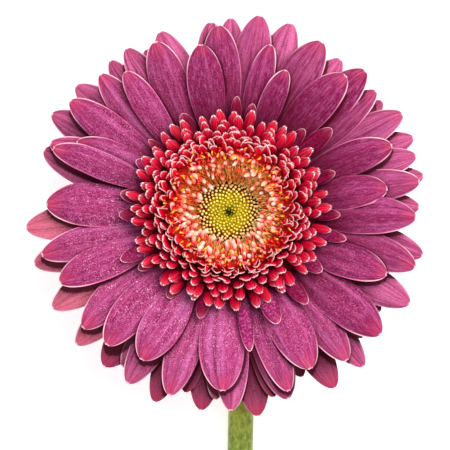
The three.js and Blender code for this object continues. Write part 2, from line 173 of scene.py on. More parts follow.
@dataclass
class Shell:
    """A mesh in the making: points, quads, and values that its materials read."""

    points: np.ndarray
    quads: np.ndarray
    along: np.ndarray
    across: np.ndarray
    values: dict[str, np.ndarray] = field(default_factory=dict)

    @staticmethod
    def joined(shells: list["Shell"]) -> "Shell":
        """Puts several shells into one, each one's quads counted on from the points before it."""
        starts = np.cumsum([0] + [len(shell.points) for shell in shells[:-1]])
        return Shell(
            np.concatenate([shell.points for shell in shells]),
            np.concatenate([shell.quads + start for shell, start in zip(shells, starts)]),
            np.concatenate([shell.along for shell in shells]),
            np.concatenate([shell.across for shell in shells]),
            {key: np.concatenate([shell.values[key] for shell in shells]) for key in shells[0].values},
        )

    def into_object(self, name: str, material: Material, crisp: bool = False) -> bpy.types.Object:
        """Makes the Blender object, smooth shaded, with one UV map of across and along.

        Args:
            name: the piece's name.
            material: its finish.
            crisp: whether sharp edges are shaded sharp, as on a thin petal's rim.

        Returns:
            The new object, linked to the scene.
        """
        mesh = bpy.data.meshes.new(name)
        mesh.vertices.add(len(self.points))
        mesh.vertices.foreach_set("co", self.points.astype(np.float32).ravel())
        mesh.loops.add(self.quads.size)
        mesh.loops.foreach_set("vertex_index", self.quads.astype(np.int32).ravel())
        mesh.polygons.add(len(self.quads))
        mesh.polygons.foreach_set("loop_start", np.arange(0, self.quads.size, 4, dtype=np.int32))
        mesh.update(calc_edges=True)
        mesh.validate()
        mesh.polygons.foreach_set("use_smooth", np.ones(len(mesh.polygons), dtype=bool))
        corners = np.empty(len(mesh.loops), dtype=np.int32)
        mesh.loops.foreach_get("vertex_index", corners)
        uv = np.stack((self.across, self.along), axis=-1)[corners]
        mesh.uv_layers.new(name="surface").data.foreach_set("uv", uv.astype(np.float32).ravel())
        for key, value in self.values.items():
            attribute = mesh.attributes.new(key, "FLOAT", "POINT")
            attribute.data.foreach_set("value", value.astype(np.float32))
        self.weld(mesh)
        if crisp:
            mesh.set_sharp_from_angle(angle=SHARP_EDGE)
        mesh.materials.append(material)
        piece = bpy.data.objects.new(name, mesh)
        bpy.context.scene.collection.objects.link(piece)
        log.info("%s: %d faces", name, len(mesh.polygons))
        return piece

    @staticmethod
    def weld(mesh: bpy.types.Mesh) -> None:
        """Merges points that share a place, which closes seams and poles, and closes open ends of rods."""
        work = bmesh.new()
        work.from_mesh(mesh)
        bmesh.ops.remove_doubles(work, verts=work.verts, dist=WELD_DISTANCE)
        bmesh.ops.holes_fill(work, edges=work.edges, sides=0)
        work.to_mesh(mesh)
        work.free()


def sheet_quads(rows: int, columns: int) -> np.ndarray:
    """Quads of a closed sheet: its top grid, its bottom grid turned over, and the wall between their rims.

    Args:
        rows: points along.
        columns: points across.

    Returns:
        Quads over 2 * rows * columns points, the top grid first.
    """
    at = np.arange(rows * columns).reshape(rows, columns)
    top = np.stack((at[:-1, :-1], at[1:, :-1], at[1:, 1:], at[:-1, 1:]), axis=-1).reshape(-1, 4)
    under = top[:, ::-1] + rows * columns
    rim = np.concatenate((at[:, 0], at[-1, 1:], at[-2::-1, -1], at[0, -2:0:-1]))
    after = np.roll(rim, -1)
    wall = np.stack((rim, rim + rows * columns, after + rows * columns, after), axis=-1)
    return np.concatenate((top, under, wall))


def tube_quads(rings: int, sides: int) -> np.ndarray:
    """Quads of a tube of closed rings, facing out when each ring turns right-handed about the way along."""
    at = np.arange(rings * sides).reshape(rings, sides)
    after = np.roll(at, -1, axis=1)
    return np.stack((at[:-1], after[:-1], after[1:], at[1:]), axis=-1).reshape(-1, 4)


@dataclass(frozen=True)
class BladeForm:
    """The outline and cross-section of one kind of floret.

    Places and widths are shares of its length and half width. The thickness, the groove's depth, the depth
    and round of the teeth and the rim's lift are in mm. Crowding is how closely columns crowd to the edges.
    """

    widest_at: float = 0.64
    fullness: float = 2.3
    root_share: float = 0.36
    blunt: float = 0.05
    thickness: float = 0.5
    rim_share: float = 0.35
    groove: float = 0.0
    groove_width: float = 0.17
    groove_places: tuple[float, ...] = (-0.42, 0.42)
    fold_width: float = 0.16
    teeth: float = 3.0
    tooth_depth: float = 0.0
    tooth_round: float = 0.0
    rim_wave: float = 0.0
    rim_lift: float = 0.0
    rows: int = 36
    columns: int = 17
    crowding: float = 0.94

    def outline(self, along: np.ndarray) -> np.ndarray:
        """Share of the full width along a floret.

        It eases up from the root share to the widest place. From there, with t the share of the way to the
        tip and f the fullness, it is the f-th root of 1 less t to the f, down to the blunt tip.

        Args:
            along: shares from root to tip.

        Returns:
            Shares of the width.
        """
        rise = mix(self.root_share, 1.0, smooth(along, 0.0, self.widest_at))
        past = np.clip((along - self.widest_at) / (1.0 - self.widest_at), 0.0, 1.0)
        fall = np.maximum(self.blunt, (1.0 - past**self.fullness) ** (1.0 / self.fullness))
        return np.where(along < self.widest_at, rise, fall)


@dataclass
class Blades:
    """Many florets of one kind, in the head's frame.

    Every field holds one entry for each floret. A single value is repeated for all of them.
    """

    root: np.ndarray
    tip: np.ndarray
    bend: Values
    width: Values
    arch: Values = 0.0
    twist: Values = 0.0
    fold: Values = 0.0
    tone: Values = 0.5
    resting: Values = 0.0
    curl: Values = 0.0
    # 1 on back rays that get brown painted shade.
    painted_shade: Values = 0.0
    peach: Values = 0.0
    # How low a ray lies, which its finish paints paler as fill light.
    low: Values = 0.0

    def __post_init__(self) -> None:
        """Repeats the single values."""
        for item in fields(self)[2:]:
            value = np.asarray(getattr(self, item.name), dtype=float)
            setattr(self, item.name, np.broadcast_to(value, (len(self.root),)).copy())

    @staticmethod
    def joined(groups: list["Blades"]) -> "Blades":
        """All the blades of several groups as one."""
        names = [item.name for item in fields(Blades)]
        return Blades(*[np.concatenate([getattr(group, name) for group in groups]) for name in names])

    def rise(self, share: np.ndarray, pick: object) -> np.ndarray:
        """Height of middle lines at a share of their length.

        The height follows a quadratic curve with the bend as its middle control, less the curl times the
        square of the share of the last three tenths.

        Args:
            share: shares of the length.
            pick: index of one blade, or one that stretches the values of all.

        Returns:
            Heights in mm.
        """
        height = (1 - share) ** 2 * self.root[:, 2][pick] + share**2 * self.tip[:, 2][pick]
        height = height + 2 * share * (1 - share) * self.bend[pick]
        return height - self.curl[pick] * np.clip((share - 0.7) / 0.3, 0.0, None) ** 2

    def clearance(self, points: np.ndarray, form: BladeForm, own: np.ndarray) -> np.ndarray:
        """How far points lie, seen along the flower's axis, from the nearest of these blades above them.

        A blade's middle line is taken as straight. A point's distance to it is its distance sideways beyond
        half the blade's width there, joined with its distance past the line's end. A blade that isn't above
        adds the open distance.

        Args:
            points: blades x ... x 3 points in the head's frame.
            form: the blades' outline.
            own: for each entry of points, the index here of the blade that it belongs to.

        Returns:
            Distances in mm, at most the open distance.
        """
        nearest = np.full(points.shape[:-1], OPEN_DISTANCE)
        for index in range(len(self.root)):
            line = self.tip[index, :2] - self.root[index, :2]
            length = np.hypot(*line)
            from_root = points[..., :2] - self.root[index, :2]
            share = (from_root @ line) / length**2
            beside = np.abs(from_root[..., 0] * line[1] - from_root[..., 1] * line[0]) / length
            along = np.clip(share, 0.0, 1.0)
            half = self.width[index] / 2 * form.outline(along)
            height = self.rise(along, index) - self.arch[index] * half
            above = smooth(height - points[..., 2], -0.3, 0.5)
            away = np.hypot(np.maximum(beside - half, 0.0), (share - along) * length)
            away = away + OPEN_DISTANCE * (1.0 - above)
            away[own == index] = OPEN_DISTANCE
            nearest = np.minimum(nearest, away)
        return nearest

    def relief(self, form: BladeForm, along: np.ndarray, across: np.ndarray, half: np.ndarray) -> np.ndarray:
        """How far the sheets rise from their middle lines along the normal.

        Each cross-section is a parabola with low edges, less two grooves and a fold down the middle, which
        are bell curves of the place across. The rim is lifted and waves as a sine. The twist tilts it all.
        The tone, multiplied and wrapped at one, gives each blade a depth of groove of its own.

        Args:
            form: relief of the kind.
            along: shares from root to tip.
            across: places from -1 at one edge to 1 at the other.
            half: half widths in mm.

        Returns:
            Blades x rows x columns heights in mm.
        """
        fade = np.sin(np.clip(along, 0.02, 0.98) * math.pi) ** 0.6
        depth = form.groove * mix(0.3, 1.7, (self.tone[EACH] * 7.3) % 1.0) * fade
        relief = -self.arch[EACH] * half * across**2
        for place in form.groove_places:
            relief = relief - depth * np.exp(-(((across - place) / form.groove_width) ** 2))
        relief = relief + form.rim_lift * np.abs(across) ** 12
        relief = relief - self.fold[EACH] * fade * np.exp(-((across / form.fold_width) ** 2))
        wave = np.sin(along * 19.0 + self.tone[EACH] * 40.0) * np.sign(across) * np.abs(across) ** 3
        relief = relief + form.rim_wave * half * wave * smooth(along, 0.2, 0.7)
        return relief + np.tan(self.twist[EACH] * along) * half * across

    def rim_highlight(self, along: np.ndarray, across: np.ndarray) -> np.ndarray:
        """How bright the painted rim highlights are: about 78 in 100 blades' on the clockwise side, and all
        at the tips.
        """
        lean = np.where((self.tone[EACH] * 13.7) % 1.0 < 0.78, -1.0, 1.0)
        side = 0.54 + 0.32 * lean * np.sign(across) + 0.14 * np.sin(self.tone[EACH] * 91.0)
        return mix(side, mix(0.4, 1.0, side), smooth(along, 0.75, 0.98))

    def shell(self, form: BladeForm, head: HeadFrame, others: "Blades | None" = None,
              first: int = 0) -> Shell:
        """The closed sheets of all blades.

        The middle line's reach and bearing run evenly from root to tip. The sheet's two faces lie half its
        thickness off along the normal, and it thins towards the rim. Rows crowd towards the tip, and columns
        towards the edges, by a sine.

        Args:
            form: outline, thickness and relief of the kind.
            head: the head's frame.
            others: all blades that may lie above these, these among them, or None.
            first: index in others of the first blade here.

        Returns:
            The shell in metres, with the values that the petals' finishes read.
        """
        along = np.sin(np.linspace(0.0, math.pi / 2, form.rows))[None, :, None]
        edge = np.linspace(-1.0, 1.0, form.columns)
        crowding = math.pi / 2 * form.crowding
        across = np.sin(edge * crowding)[None, None, :] / math.sin(crowding)
        root_reach = np.hypot(self.root[:, 0], self.root[:, 1])[EACH]
        tip_reach = np.hypot(self.tip[:, 0], self.tip[:, 1])[EACH]
        root_bearing = np.arctan2(self.root[:, 1], self.root[:, 0])[EACH]
        tip_bearing = np.arctan2(self.tip[:, 1], self.tip[:, 0])[EACH]
        turn = (tip_bearing - root_bearing + math.pi) % FULL_TURN - math.pi

        def middle(share: np.ndarray) -> np.ndarray:
            """The blades' middle lines at a share of their length."""
            reach = mix(root_reach, tip_reach, share)
            return around(root_bearing + turn * share, reach, self.rise(share, EACH))

        ahead = unit(middle(along + 0.01) - middle(along - 0.01))
        left = unit(np.stack((-ahead[..., 1], ahead[..., 0], np.zeros_like(ahead[..., 0])), axis=-1))
        normal = np.cross(ahead, left)
        half = self.width[EACH] / 2 * form.outline(along)
        length = np.linalg.norm(self.tip - self.root, axis=-1)[EACH]
        relief = self.relief(form, along, across, half)
        teeth = form.tooth_depth * (0.5 + 0.5 * np.cos(form.teeth * math.pi * edge))
        teeth = teeth - form.tooth_round * across**2
        ahead_by = teeth * smooth(along, 0.82, 1.0) * np.ones_like(relief)
        sheet = middle(along) + left * (half * across)[..., None]
        sheet = sheet + normal * relief[..., None] + ahead * ahead_by[..., None]
        taper = 1.0 - (1.0 - form.rim_share) * np.abs(across) ** 4
        taper = taper * mix(1.0, form.rim_share, smooth(along, 0.9, 1.0))
        lift = normal * (form.thickness / 2) * taper[..., None]
        faces = np.stack((sheet + lift, sheet - lift), axis=1)
        above_table = np.array([form.thickness * form.rim_share, 0.0])[None, :, None, None]
        floor = head.table_under(faces[..., 1]) + above_table
        rests = self.resting[:, None, None, None] > 0.5
        faces[..., 2] = np.where(rests, np.maximum(faces[..., 2], floor), faces[..., 2])

        count, per_blade, shape = len(self.root), 2 * form.rows * form.columns, faces.shape[:-1]
        clear = np.full(shape, OPEN_DISTANCE)
        if others is not None:
            clear = others.clearance(faces, form, np.arange(first, first + count))
        quads = sheet_quads(form.rows, form.columns)[None] + (np.arange(count) * per_blade)[:, None, None]
        values = {
            "rim": np.minimum(half * (1.0 - np.abs(across)), (1.0 - along) * length)[:, None],
            "tone": self.tone[EACH][..., None],
            "under": np.array([0.0, 1.0])[None, :, None, None],
            # Painted highlight on the rims: brighter on one side of most blades and at the tips.
            "rim_highlight": self.rim_highlight(along, across)[:, None],
            # Painted light: 1 on the head's lower-left side, 0 on its upper right, where petals are painted
            # paler.
            "painted_light": 0.5 - 0.5 * np.sin(root_bearing + math.pi / 4)[:, None],
            # Painted shade in brown on the chosen back rays.
            "painted_shade": self.painted_shade[EACH][..., None],
            "peach": self.peach[EACH][..., None],
            # How low the ray lies; its finish paints it paler as fill light.
            "low": self.low[EACH][..., None],
            # Distance to the petal above, which the finish turns into painted shadow.
            "clear": clear,
        }
        return Shell(
            head.to_world(faces).reshape(-1, 3),
            quads.reshape(-1, 4),
            spread(along[:, None], shape),
            spread(across[:, None] * 0.5 + 0.5, shape),
            {key: spread(value, shape) for key, value in values.items()},
        )


def rods(paths: np.ndarray, radii: np.ndarray, sides: int, tone: np.ndarray, head: HeadFrame | None) -> Shell:
    """Closed rods carried along paths: each ring lies square to its path, and the end rings close to a point.

    Args:
        paths: count x rings x 3 middle points, in mm.
        radii: count x rings radii, in mm.
        sides: sides of each ring.
        tone: one value for each rod.
        head: the head's frame, or None where the paths are already in the model's frame in mm.

    Returns:
        The shell in metres, with the values tone and reach (mm from the axis at the rod's root).
    """
    count, rings = radii.shape
    ahead = unit(np.gradient(paths, axis=1))
    helper = np.where(np.abs(ahead[..., 2:3]) > 0.9, np.array([1.0, 0.0, 0.0]), np.array([0.0, 0.0, 1.0]))
    side = unit(np.cross(helper, ahead))
    up = np.cross(ahead, side)
    turn = np.arange(sides) / sides * FULL_TURN
    ring = np.cos(turn)[:, None] * side[:, :, None, :] + np.sin(turn)[:, None] * up[:, :, None, :]
    points = paths[:, :, None, :] + ring * radii[:, :, None, None]
    quads = tube_quads(rings, sides)[None] + (np.arange(count) * rings * sides)[:, None, None]
    shape = points.shape[:-1]
    reach = np.hypot(paths[:, 0, 0], paths[:, 0, 1])
    world = head.to_world(points) if head else points * MM
    return Shell(
        world.reshape(-1, 3),
        quads.reshape(-1, 4),
        spread(np.linspace(0.0, 1.0, rings)[None, :, None], shape),
        spread(np.arange(sides) / sides, shape),
        {"tone": spread(tone[EACH], shape), "reach": spread(reach[EACH], shape)},
    )


def straight(root: np.ndarray, way: np.ndarray, points: int) -> np.ndarray:
    """Paths of evenly spaced points, each from its root as far as its way."""
    return root[:, None] + way[:, None] * np.linspace(0.0, 1.0, points)[None, :, None]


def swelling(profile: Profile, rings: int, girth: np.ndarray) -> np.ndarray:
    """Radii of rods whose thickness changes on the way.

    Args:
        profile: share along the rod and radius there, in order.
        rings: number of rings.
        girth: what each rod's radii are multiplied by.

    Returns:
        Rods x rings radii in mm.
    """
    shares, radii = np.array(profile).T
    return np.interp(np.linspace(0.0, 1.0, rings), shares, radii)[None] * girth[:, None]


def turned(profile: Profile | np.ndarray, sides: int, rings: int, head: HeadFrame) -> Shell:
    """A surface turned round the flower's axis: the profile's radius and height at evenly spaced lengths.

    Args:
        profile: radius and height of its corners in mm, from the axis or rim outwards and round.
        sides: points round the axis.
        rings: points along the profile.
        head: the head's frame.

    Returns:
        The shell in metres, with the values tone and reach.
    """
    corners = np.array(profile)
    lengths = np.concatenate(([0.0], np.cumsum(np.linalg.norm(np.diff(corners, axis=0), axis=1))))
    steps = np.linspace(0.0, lengths[-1], rings)
    radius, height = (np.interp(steps, lengths, corners[:, k]) for k in (0, 1))
    bearing = np.arange(sides) / sides * FULL_TURN
    points = around(bearing[None, :], np.maximum(radius, 1e-3)[:, None], height[:, None])
    shape = points.shape[:-1]
    return Shell(
        head.to_world(points).reshape(-1, 3),
        tube_quads(rings, sides),
        spread(np.linspace(0.0, 1.0, rings)[:, None], shape),
        spread(np.arange(sides) / sides, shape),
        {"tone": spread(0.5, shape), "reach": spread(radius[:, None], shape)},
    )


def colour(red: int, green: int, blue: int) -> Colour:
    """A colour given as it looks on a screen, 0 to 255, made linear by the screen's curve."""
    values = [v / 255 for v in (red, green, blue)]
    linear = [v / 12.92 if v <= 0.04045 else ((v + 0.055) / 1.055) ** 2.4 for v in values]
    return (*linear, 1.0)


def stops(*marks: tuple[float, int, int, int]) -> Stops:
    """The stops of a ramp: the place of each, and its colour as it looks on a screen."""
    return tuple((place, colour(red, green, blue)) for place, red, green, blue in marks)


class Nodes:
    """A small builder for a material's node tree."""

    def __init__(self, name: str) -> None:
        """Starts an empty material with its surface shader and output."""
        self.material = bpy.data.materials.new(name)
        self.material.use_nodes = True
        self.tree = self.material.node_tree
        self.tree.nodes.clear()
        self.shader = self.tree.nodes.new("ShaderNodeBsdfPrincipled")
        output = self.tree.nodes.new("ShaderNodeOutputMaterial")
        self.link(self.shader.outputs["BSDF"], output.inputs["Surface"])

    def link(self, source: Socket, target: Socket) -> None:
        """Joins two sockets."""
        self.tree.links.new(source, target)

    def put(self, target: Socket, value: object) -> None:
        """Gives a socket a value, or links it where the value is a socket."""
        if isinstance(value, Socket):
            self.link(value, target)
        else:
            target.default_value = value

    def attribute(self, name: str) -> Socket:
        """The value that the piece's points carry under a name."""
        node = self.tree.nodes.new("ShaderNodeAttribute")
        node.attribute_name = name
        return node.outputs["Fac"]

    def surface_place(self) -> tuple[Socket, Socket, Socket]:
        """The across and along shares of the piece's UV map, and both as a vector."""
        uv = self.tree.nodes.new("ShaderNodeUVMap")
        uv.uv_map = "surface"
        split = self.tree.nodes.new("ShaderNodeSeparateXYZ")
        self.link(uv.outputs["UV"], split.inputs[0])
        return split.outputs["X"], split.outputs["Y"], uv.outputs["UV"]

    def object_place(self) -> Socket:
        """Object coordinates, in metres."""
        return self.tree.nodes.new("ShaderNodeTexCoord").outputs["Object"]

    def math(self, operation: str, first: object, second: object = 0.0) -> Socket:
        """The result of one sum on two values."""
        node = self.tree.nodes.new("ShaderNodeMath")
        node.operation = operation
        self.put(node.inputs[0], first)
        self.put(node.inputs[1], second)
        return node.outputs[0]

    def times(self, first: object, *others: object) -> Socket:
        """The product of two or more values."""
        for other in others:
            first = self.math("MULTIPLY", first, other)
        return first

    def span(self, value: Socket, low: float, high: float,
             to_low: float = 0.0, to_high: float = 1.0) -> Socket:
        """Eases a value from low..high to to_low..to_high."""
        node = self.tree.nodes.new("ShaderNodeMapRange")
        node.interpolation_type = "SMOOTHSTEP"
        self.put(node.inputs["Value"], value)
        for key, number in (("From Min", low), ("From Max", high), ("To Min", to_low), ("To Max", to_high)):
            node.inputs[key].default_value = number
        return node.outputs["Result"]

    def vector_math(self, operation: str, vector: Socket, by: object) -> Socket:
        """A vector and another one, or a value alike in all three parts, joined part by part."""
        node = self.tree.nodes.new("ShaderNodeVectorMath")
        node.operation = operation
        self.link(vector, node.inputs[0])
        self.put(node.inputs[1], by)
        return node.outputs[0]

    def noise(self, vector: Socket, scale: float, detail: float = 3.0, rough: float = 0.55) -> Socket:
        """Fractal noise from 0 to 1 round 0.5."""
        node = self.tree.nodes.new("ShaderNodeTexNoise")
        self.link(vector, node.inputs["Vector"])
        node.inputs["Scale"].default_value = scale
        node.inputs["Detail"].default_value = detail
        node.inputs["Roughness"].default_value = rough
        return node.outputs["Fac"]

    def streaks(self, across: float, along: float, offset: float,
                detail: float, rough: float = 0.55) -> Socket:
        """Noise on the UV map, drawn out along each floret.

        Args:
            across: how many patches lie across a floret.
            along: how many patches lie along it.
            offset: how far the noise is moved, times the floret's tone, so that no two florets are alike.
            detail: finer layers of the noise.
            rough: how strong the finer layers are.

        Returns:
            The noise from 0 to 1.
        """
        place = self.vector_math("MULTIPLY", self.surface_place()[2], (across, along, 1.0))
        place = self.vector_math("ADD", place, self.times(self.attribute("tone"), offset))
        return self.noise(place, 1.0, detail, rough)

    def ramp(self, value: Socket, marks: Stops) -> Socket:
        """Colours along a value.

        Args:
            value: where on the ramp.
            marks: place and colour of each stop, in order.

        Returns:
            The colour socket.
        """
        node = self.tree.nodes.new("ShaderNodeValToRGB")
        elements = node.color_ramp.elements
        for index, (place, shade) in enumerate(marks):
            element = elements[index] if index < 2 else elements.new(place)
            element.position = place
            element.color = shade
        self.link(value, node.inputs["Fac"])
        return node.outputs["Color"]

    def blend(self, share: Socket, first: object, second: object, mode: str = "MIX") -> Socket:
        """Blends two colours by a share."""
        node = self.tree.nodes.new("ShaderNodeMix")
        node.data_type = "RGBA"
        node.blend_type = mode
        self.put(node.inputs["Factor"], share)
        self.put(node.inputs["A"], first)
        self.put(node.inputs["B"], second)
        return node.outputs["Result"]

    def coated(self, body: object, *coats: tuple[Socket, object]) -> Socket:
        """Lays colours over each other.

        Args:
            body: the colour below.
            coats: the share and the colour of each coat, in the order in which they are laid.

        Returns:
            The colour socket.
        """
        for share, shade in coats:
            body = self.blend(share, body, shade)
        return body

    def gloss(self, roughness: float, specular: float,
              sheen: float = 0.0, tint: Colour = (1, 1, 1, 1)) -> None:
        """Sets the shader's own constant sockets."""
        self.shader.inputs["Roughness"].default_value = roughness
        self.shader.inputs["Specular IOR Level"].default_value = specular
        self.shader.inputs["Sheen Weight"].default_value = sheen
        self.shader.inputs["Sheen Roughness"].default_value = 0.45
        self.shader.inputs["Sheen Tint"].default_value = tint

    def finished(self, body: Socket, relief: Socket, depth: float) -> Material:
        """Gives the shader its colour and a relief of a depth in metres, and hands over the material."""
        node = self.tree.nodes.new("ShaderNodeBump")
        node.inputs["Strength"].default_value = 1.0
        node.inputs["Distance"].default_value = depth
        self.link(relief, node.inputs["Height"])
        self.link(node.outputs["Normal"], self.shader.inputs["Normal"])
        self.link(body, self.shader.inputs["Base Color"])
        return self.material


@dataclass(frozen=True)
class RayFinish:
    """Velvety mauve petals: darker roots, rosy tips, pale rims, fine veins and pale specks, with painted
    light and painted shade laid over them.
    """

    # root: the darker base, partly the petal's own colour and partly painted shade near the ruff.
    root: Colour = colour(84, 0, 26)
    body: Colour = colour(116, 0, 56)
    # pale and lilac are partly the petals' own tone and streaks, partly painted light on the head's
    # lower-left side and painted highlight where lit.
    pale: Colour = colour(176, 56, 112)
    lilac: Colour = colour(204, 106, 168)
    vein: Colour = colour(98, 6, 56)
    # Pale specks, laid only where lit, so partly the petal's own specks and partly painted highlight.
    speck_and_highlight: Colour = colour(252, 190, 216)
    tip: Colour = colour(212, 58, 96)
    tip_streak: Colour = colour(240, 136, 164)
    # rim and side_rim: the paler margin, with painted highlights on its brighter side and at the tip.
    rim: Colour = colour(255, 206, 218)
    side_rim: Colour = colour(232, 122, 166)
    under: Colour = colour(212, 138, 152)
    under_vein: Colour = colour(150, 52, 84)
    # low: painted fill light on rays that lie low.
    low: Colour = colour(224, 118, 168)
    # Brown painted shade on the chosen back rays, and their own red tips.
    painted_shade_brown: Colour = colour(106, 30, 32)
    shaded_ray_tip: Colour = colour(206, 30, 66)
    peachy: Colour = colour(232, 122, 136)
    # Painted shadow and painted contact shadow beside and under the petals above.
    painted_shadow: Colour = colour(84, 0, 34)
    painted_contact_shadow: Colour = colour(64, 0, 20)

    def material(self) -> Material:
        """Builds the node tree: the blade's own colour with painted light on the head's lower-left side, then
        painted fill on low rays, painted shade on some back rays and a peach tint, then tip, rims with
        painted highlights, and painted shadow.
        """
        n = Nodes("ray_petal")
        across, along, _ = n.surface_place()
        place = n.object_place()
        tone, rim, rim_highlight, painted_light = (n.attribute(key) for key in ("tone", "rim", "rim_highlight", "painted_light"))
        low, painted_shade, clear, peach = (n.attribute(key) for key in ("low", "painted_shade", "clear", "peach"))
        bands = n.streaks(4.6, 0.8, 63.0, 2.0, 0.5)
        streaks = n.streaks(13.0, 0.9, 37.0, 4.0, 0.62)
        fine = n.streaks(46.0, 3.2, 91.0, 2.0, 0.5)
        mottle = n.streaks(20.0, 13.0, 29.0, 5.0, 0.75)
        broken = n.streaks(1.6, 4.2, 71.0, 2.0, 0.5)
        grain = n.noise(place, 2900.0, 2.0, 0.7)
        patch = n.noise(place, 520.0, 1.0)

        # Painted highlight: where petals face the light, strongest on the head's lower-left side.
        lit = n.times(n.span(along, 0.15, 0.5), n.span(along, 1.0, 0.75), n.span(painted_light, 0.0, 1.0, 0.4, 1.0))
        specks = n.times(n.span(grain, 0.57, 0.67), n.span(patch, 0.42, 0.6, 0.1, 1.0))
        specks = n.times(specks, n.span(along, 0.9, 0.5, 0.5, 1.0))
        body = n.coated(
            self.body,
            # Painted light: paler and more lilac on the head's lower-left side.
            (n.math("ADD", n.times(tone, 0.4), n.times(painted_light, 0.6)), self.pale),
            (n.span(bands, 0.5, 0.72, 0.0, 0.62), self.vein),
            (n.times(n.span(bands, 0.5, 0.3, 0.0, 0.72), n.span(painted_light, 0.1, 0.8, 0.4, 1.0)), self.lilac),
            (n.span(streaks, 0.48, 0.68, 0.0, 0.62), self.vein),
            (n.span(fine, 0.5, 0.72, 0.0, 0.22), self.lilac),
            (n.span(grain, 0.5, 0.32, 0.0, 0.55), self.vein),
            (n.span(mottle, 0.5, 0.66, 0.0, 0.46), self.lilac),
            (n.span(mottle, 0.5, 0.36, 0.0, 0.46), self.vein),
            # Painted highlight: lilac grain and pale specks where lit.
            (n.times(n.span(grain, 0.48, 0.66, 0.0, 0.5), lit), self.lilac),
            (n.times(specks, lit, painted_light), self.speck_and_highlight),
            # Darker root: partly own colour, partly painted shade near the ruff, reaching further on the
            # upper right.
            (n.span(n.math("ADD", along, n.times(painted_light, 0.34)), 0.88, 0.22), self.root),
        )

        # Painted fill light: rays that lie low are made paler.
        pink = n.times(low, n.span(streaks, 0.34, 0.62, 0.75, 0.15), n.span(along, 0.45, 0.85, 0.5, 1.0))
        # Painted shade in brown on the chosen back rays.
        brown = n.times(painted_shade, n.span(streaks, 0.34, 0.62, 0.92, 0.62), n.span(along, 0.72, 1.0, 1.0, 0.5))
        body = n.coated(
            body,
            (pink, self.low),
            (n.times(peach, n.span(streaks, 0.34, 0.62, 0.85, 0.4)), self.peachy),
            (brown, self.painted_shade_brown),
            (n.times(low, n.span(grain, 0.5, 0.36, 0.0, 0.4)), self.vein),
        )

        middle = n.math("ABSOLUTE", n.math("SUBTRACT", across, 0.5))
        rosy = n.times(n.span(along, 0.84, 0.99), n.span(middle, 0.42, 0.02, 0.25, 1.0))
        rosy = n.times(rosy, n.span(streaks, 0.3, 0.6, 1.0, 0.55), n.span(low, 0.2, 1.0, 1.0, 0.45))
        # Rims are dimmed on rays with painted shade.
        unshaded = n.math("SUBTRACT", 1.0, n.times(painted_shade, 0.85))
        edge = n.times(n.span(rim, 0.34, 0.1), n.span(rim_highlight, 0.2, 0.9, 0.12, 1.0), unshaded)
        edge = n.times(edge, n.span(broken, 0.36, 0.6, 0.5, 1.0), n.span(along, 0.35, 0.8, 0.12, 1.0))
        crown = n.times(n.span(rim, 0.5, 0.12), n.span(along, 0.72, 0.95), rim_highlight, unshaded)
        below = n.blend(n.span(streaks, 0.42, 0.62, 0.0, 0.7), self.under, self.under_vein)
        body = n.coated(
            body,
            # Rosy tip, painted stronger on the lower-left, painted-light side.
            (n.times(rosy, n.span(painted_light, 0.0, 0.8, 0.4, 0.76)), self.tip),
            (n.times(rosy, n.span(fine, 0.52, 0.64, 0.0, 0.6)), self.tip_streak),
            (n.times(painted_shade, n.span(along, 0.88, 1.0, 0.0, 0.34)), self.shaded_ray_tip),
            # Painted shadow, broad and then narrow, from the petals above.
            (n.span(clear, 1.9, 0.2, 0.0, 0.28), self.painted_shadow),
            (edge, self.side_rim),
            (crown, self.rim),
            (n.span(clear, 0.56, 0.06, 0.0, 0.88), self.painted_contact_shadow),
            (n.times(n.attribute("under"), 0.85), below),
        )
        n.gloss(0.55, 0.05, 0.02, colour(255, 190, 226))
        return n.finished(body, n.math("ADD", n.times(grain, 0.9), n.times(streaks, 0.9)), 0.00026)


